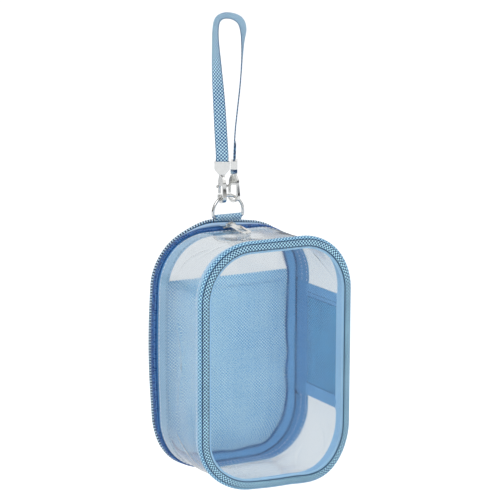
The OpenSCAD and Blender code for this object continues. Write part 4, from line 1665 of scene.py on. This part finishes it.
@dataclass
class Metalwork:
    """The ring, the crimps, the clasps with their gates, and the slider with its pull."""

    ring_corner: float = 1.6
    ring_sides: int = 20

    def ring(self) -> bpy.types.Object:
        """The wire ring: an arc, two straight sides and a bar with small round corners."""
        low, high = box("d_ring")
        wire = (high[1] - low[1]) / 2
        half = (high[0] - low[0]) / 2 - wire
        centre_x = (low[0] + high[0]) / 2
        centre_y = (low[1] + high[1]) / 2
        top = high[2] - wire
        bar = low[2] + wire
        arc_z = top - half
        corner = self.ring_corner
        turn = np.linspace(0, np.pi, 49)
        bend = np.linspace(np.pi, 1.5 * np.pi, 9)
        parts = [np.stack([half * np.cos(turn), arc_z + half * np.sin(turn)], -1)]
        for middle, way in ((-half + corner, bend), (half - corner, bend + np.pi / 2)):
            parts.append(np.stack([middle + corner * np.cos(way), bar + corner + corner * np.sin(way)], -1))
        path = np.concatenate(parts)
        near = np.roll(path, -1, 0) - np.roll(path, 1, 0)
        side = np.stack([near[:, 1], -near[:, 0]], -1) / np.linalg.norm(near, axis=1, keepdims=True)
        angle = circle(self.ring_sides)
        x = centre_x + path[:, None, 0] + wire * np.cos(angle) * side[:, None, 0]
        z = path[:, None, 1] + wire * np.cos(angle) * side[:, None, 1]
        y = centre_y + wire * np.sin(angle) + 0 * x
        rings = np.stack([x, y, z], -1)
        around = np.arange(self.ring_sides + 1.0)
        return tube("ring_wire", rings, np.arange(len(path) + 1.0), around, closed=True)

    def build(self, dresser: Dresser) -> None:
        """Makes and dresses the metal pieces."""
        dresser.dress(self.ring(), "chrome", Body.RING, ["d_ring"])
        for side, clasp, gate in (
            ("left", Body.LEFT_CLASP, Body.LEFT_GATE),
            ("right", Body.RIGHT_CLASP, Body.RIGHT_GATE),
        ):
            dresser.polished(f"{side}_crimp", f"{side}_crimp_cover", "chrome", Body.STRAP, 0.45)
            dresser.polished(f"{side}_clasp", f"{side}_hook", "chrome", clasp, 0.55, 4)
            dresser.polished(f"{side}_gate", f"{side}_gate_lever", "steel", gate, 0.3)
            dresser.keep(f"{side}_gate_pin", "steel")
            dresser.keep(f"{side}_gate_spring", "spring")
        dresser.polished("zip_slider", "slider_shell", "chrome", Body.SLIDER, 0.3)
        dresser.polished("zip_pull", "pull_tab", "steel", Body.PULL, 0.35)
        for node in ("rear_zip_stops", "front_zip_stops"):
            dresser.keep(node, "steel")


# ---- studio ----


@dataclass(frozen=True)
class Studio:
    """The floor, the soft light and the camera.

    The stops are (height, brightness) of what mirrors see in the room, the ramp's own ends first.
    The lamps are (name, place, size, power).
    """

    floor_drop: float = 135.0
    floor_reach: float = 12.0
    floor_colour: Colour = (0.9, 0.9, 0.9, 1.0)
    floor_mirrored: Colour = (0.3, 0.31, 0.33, 1.0)
    floor_mirrored_from: tuple[float, float] = (1.0, 1.3)
    floor_glow: float = 0.35
    stripes: float = 6.0
    stripe_turn: float = 1.47
    stripe_edge: tuple[float, float] = (0.05, 0.3)
    behind_edge: tuple[float, float] = (0.25, 0.5)
    card: Colour = (0.02, 0.02, 0.025, 1.0)
    room: Colour = (0.84, 0.86, 0.88, 1.0)
    inside: Colour = (0.74, 0.77, 0.79, 1.0)
    white: Colour = (1.0, 1.0, 1.0, 1.0)
    stops: tuple[tuple[float, float], ...] = (
        (0.0, 0.55),
        (1.0, 0.9),
        (0.36, 0.5),
        (0.44, 0.12),
        (0.5, 0.1),
        (0.56, 0.85),
        (0.75, 1.0),
        (0.86, 0.45),
    )
    lamps: tuple[tuple[str, tuple[float, float, float], float, float], ...] = (
        ("key", (-1.1, -1.3, 1.1), 1.0, 9.0),
        ("fill", (1.4, -0.9, 0.5), 1.2, 2.5),
    )
    lamp_aim: tuple[float, float, float] = (0.0, -0.03, -0.2)
    camera_from: tuple[float, float, float] = (-707.78, -1271.76, 369.91)
    yaw: float = 29.07
    pitch: float = 11.52
    roll: float = 0.22
    lens: float = 156.06
    sensor: float = 36.0

    def camera(self, outline: Outline) -> None:
        """The camera, placed from the pouch's middle and turned by its yaw, pitch and roll."""
        middle = np.array([outline.centre_x, outline.seam_y - outline.deep / 2, outline.centre_z])
        yaw, pitch, roll = (math.radians(a) for a in (self.yaw, self.pitch, self.roll))
        look = np.array([math.sin(yaw) * math.cos(pitch), math.cos(yaw) * math.cos(pitch), -math.sin(pitch)])
        right = np.array([math.cos(yaw), -math.sin(yaw), 0.0])
        up = np.cross(right, look)
        right, up = (
            right * math.cos(roll) + up * math.sin(roll),
            up * math.cos(roll) - right * math.sin(roll),
        )
        data = bpy.data.cameras.new("camera")
        data.lens = self.lens
        data.sensor_width = self.sensor
        data.clip_end = 20.0
        camera = placed("camera", data)
        place = Vector((middle + np.array(self.camera_from)) * MM)
        turn = Matrix([[right[i], up[i], -look[i]] for i in range(3)])
        camera.matrix_world = Matrix.Translation(place) @ turn.to_4x4()
        bpy.context.scene.camera = camera

    def lamp(self, name: str, place: tuple[float, float, float], size: float, power: float) -> None:
        """A square lamp that faces the pouch."""
        data = bpy.data.lights.new(name, "AREA")
        data.size = size
        data.energy = power
        lamp = placed(name, data)
        lamp.location = place
        aim = Vector(self.lamp_aim) - Vector(place)
        lamp.rotation_euler = aim.to_track_quat("-Z", "Y").to_euler()

    def beyond(self, graph: Graph, place: Sequence[bpy.types.NodeSocket]) -> bpy.types.NodeSocket:
        """How far a place or a direction lies behind the pouch, as the pouch is looked at."""
        yaw = math.radians(self.yaw)
        forwards = graph.math("MULTIPLY", place[1], math.cos(yaw))
        return graph.math("MULTIPLY_ADD", place[0], math.sin(yaw), forwards)

    def world(self) -> None:
        """A white room: plain light for surfaces, white for the camera, and grey cards for reflections."""
        world = bpy.data.worlds.new("studio")
        world.use_nodes = True
        graph = Graph(world.node_tree)
        background = world.node_tree.nodes["Background"]
        rays = graph.node("ShaderNodeLightPath").outputs
        way = graph.split(graph.coord("Generated"))
        ramp = graph.node("ShaderNodeValToRGB")
        steps = ramp.color_ramp.elements
        for number, (position, value) in enumerate(self.stops):
            step = steps[number] if number < 2 else steps.new(position)
            step.position = position
            step.color = (value, value, value, 1.0)
        graph.feed(ramp.inputs[0], graph.spread(way[2], -1, 1))
        azimuth = graph.math("ARCTAN2", way[1], way[0])
        stripe = graph.math("SINE", graph.math("MULTIPLY_ADD", azimuth, self.stripes, self.stripe_turn))
        behind = graph.spread(self.beyond(graph, way), *self.behind_edge)
        lit = graph.math("MAXIMUM", graph.spread(stripe, *self.stripe_edge), behind)
        cards = graph.mix(lit, self.card, ramp.outputs[0])
        plain = graph.mix(rays["Is Glossy Ray"], self.room, cards)
        bounced = graph.math("MINIMUM", rays["Diffuse Depth"], 1.0)
        inside = graph.mix(bounced, self.inside, self.white)
        through = graph.mix(rays["Is Transmission Ray"], plain, inside)
        seen = graph.mix(rays["Is Camera Ray"], through, self.white)
        graph.feed(background.inputs["Color"], seen)
        bpy.context.scene.world = world

    def floor(self) -> None:
        """A wide pale floor under the hanging pouch."""
        far = self.floor_reach
        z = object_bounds()[0][2] - self.floor_drop * MM
        mesh = bpy.data.meshes.new("floor")
        corners = [(-far, -far, z), (far, -far, z), (far, far, z), (-far, far, z)]
        mesh.from_pydata(corners, [], [(0, 1, 2, 3)])
        floor = placed("floor", mesh)
        material, graph, shader = start_material("floor_paper")
        rays = graph.node("ShaderNodeLightPath").outputs
        spot = graph.split(graph.coord("Object"))
        mirrored = graph.math("GREATER_THAN", rays["Is Glossy Ray"], rays["Is Transmission Ray"])
        beyond = graph.spread(self.beyond(graph, spot), *self.floor_mirrored_from)
        dark = graph.math("MULTIPLY", mirrored, beyond)
        colour = graph.mix(dark, self.floor_colour, self.floor_mirrored)
        graph.feed(shader.inputs["Base Color"], colour)
        set_plain(shader, {"Roughness": 0.9, "Emission Color": self.white})
        bounced = graph.math("MINIMUM", rays["Diffuse Depth"], 1.0)
        inside = graph.math("MULTIPLY", rays["Is Transmission Ray"], bounced)
        seen = graph.math("MAXIMUM", rays["Is Camera Ray"], inside)
        graph.feed(shader.inputs["Emission Strength"], graph.math("MULTIPLY", seen, self.floor_glow))
        mesh.materials.append(material)
        floor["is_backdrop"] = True

    def build(self, outline: Outline) -> None:
        """Sets up the light, the floor and the camera."""
        bpy.context.scene.view_settings.view_transform = "Standard"
        self.world()
        self.floor()
        for lamp in self.lamps:
            self.lamp(*lamp)
        self.camera(outline)


def finishes(groups: Groups) -> dict[str, bpy.types.Material]:
    """Every finish by its short name.

    Args:
        groups: the shared node groups.

    Returns:
        The materials.
    """
    cloths = {
        # painted shade: the first, dark navy colours cover the webbing's rounded edges beyond 4.1 mm from its
        # middle, for the shade on its thickness; the band between is its own light blue
        "webbing": Cloth(
            "webbing_weave",
            "2A649A",
            "061E44",
            yarn=1.2,
            contrast=0.25,
            split=0.95,
            depth=0.2,
            bands=((-4.1, "CCF2FF", "0A4A86"), (4.1, "2A649A", "061E44")),
        ),
        "piping": Cloth("piping_cover", "BCEEFF", "0E5898", yarn=1.2, contrast=0.25, split=0.9, depth=0.2),
        "lip": Cloth("piping_flange", "BCECFC", "03346A", yarn=1.2, contrast=0.25, split=1.0, depth=0.2),
        # painted shade: near-white yarn tops like the front piping's but a far darker navy under them, for
        # the shade that the back seam lies in
        "back_piping": Cloth(
            "back_piping_cover", "D4F2FF", "041C50", yarn=1.0, contrast=0.2, split=1.0, depth=0.2
        ),
        # painted shade: the ribbon is darker up to 1.7 mm and past 7.3 mm across, for the shade along both
        # edges of its puffed, lighter middle
        "binding": Cloth(
            "ribbon",
            "3870A6",
            "123E74",
            yarn=0.5,
            contrast=0.4,
            split=0.3,
            depth=0.06,
            bands=((1.7, "7CBCE8", "2E74B0"), (7.3, "3870A6", "123E74")),
        ),
        "seam_tape": Cloth(
            "seam_ribbon_tape", "BEE8FF", "6AACE2", yarn=0.6, contrast=0.4, split=0.35, depth=0.06
        ),
        "tab": Cloth("tab_weave", "D4F4FC", "1C609C", yarn=1.25, contrast=0.25, split=0.85, depth=0.14),
        "pocket": Cloth("pocket_weave", "DEFBFF", "429ED6", yarn=1.16, contrast=0.3, split=0.85, depth=0.06),
        "hem": Cloth("hem_weave", "94D4FA", "2C74B4", yarn=1.02, contrast=0.3, split=0.8, depth=0.06),
        "hinge": Cloth("hinge_weave", "78CAF4", "0C5892", yarn=1.16, contrast=0.3, split=0.85, depth=0.06),
        # painted shade: from 3 mm on the outer face is deep navy, a shaded copy of the tape, whose own medium
        # blue shows on the inner face past 150 mm
        "rear_tape": Cloth(
            "zip_tape_rear_shaded",
            "C4DCF2",
            "94BCE2",
            yarn=0.5,
            contrast=0.5,
            split=0.4,
            bands=((3.0, "145C9C", "042A5A"), (150.0, "6CB4E4", "2C70AC")),
        ),
        # painted light and shade on the outer face: navy under the teeth for shade, then brighter blue and
        # pale blue further forward for light; the inner face past 150 mm has the tape's own medium blue
        "front_tape": Cloth(
            "zip_tape_front",
            "2476B8",
            "08386C",
            yarn=0.9,
            contrast=0.4,
            split=0.6,
            bands=((11.0, "58ACE8", "2474C0"), (12.9, "ACD6F0", "5490BC"), (150.0, "6CB4E4", "2C70AC")),
        ),
        # painted shade: a dark strip and dark rows for the shade in the seams' creases, its weave giving
        # dashes like stitches
        "channel": Cloth("crease_shade_strip", "3A77AA", "04142C", yarn=1.2, contrast=0.9, split=0.85),
    }
    others = {
        "vinyl": Vinyl("clear_vinyl", "F5F8FA"),
        "chrome": Metal("plated", "F0F0EE", 0.07),
        "steel": Metal("bright_plate", "E4E4E2", 0.16),
        "spring": Metal("spring_wire", "9A9A9C", 0.3),
        "teeth": Moulded("coil_nylon", "0B3F86", "2F7CC8", 0.25, 0.4),
        "thread": Moulded("white_thread", "D8E4F0", "F6FAFF", 0.6),
        "blue_thread": Moulded("blue_thread", "86B4DC", "A8CCEC", 0.7),
        "dark_thread": Moulded("dark_thread", "16427A", "2A5C94", 0.7),
        "grey_thread": Moulded("grey_thread", "5C7C9C", "86A4C0", 0.7),
    }
    return {key: maker.material(groups) for key, maker in {**cloths, **others}.items()}


def main() -> None:
    """Builds the dressed pouch and its studio."""
    logging.basicConfig(level=logging.INFO, format="%(name)s: %(message)s")
    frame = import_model()
    outline = Outline.from_frame()
    sizes = Sizes()
    dresser = Dresser(frame, finishes(Groups.made()))
    walls = Walls(outline, sizes)
    Studio().build(outline)
    Strap().build(dresser)
    Metalwork().build(dresser)
    walls.build(dresser)
    Pipings(outline, sizes).build(dresser)
    Zip(outline, sizes).build(dresser)
    Lining(outline, sizes, walls).build(dresser)
    Stitching(outline, sizes).build(dresser)


if __name__ == "__main__":
    main()
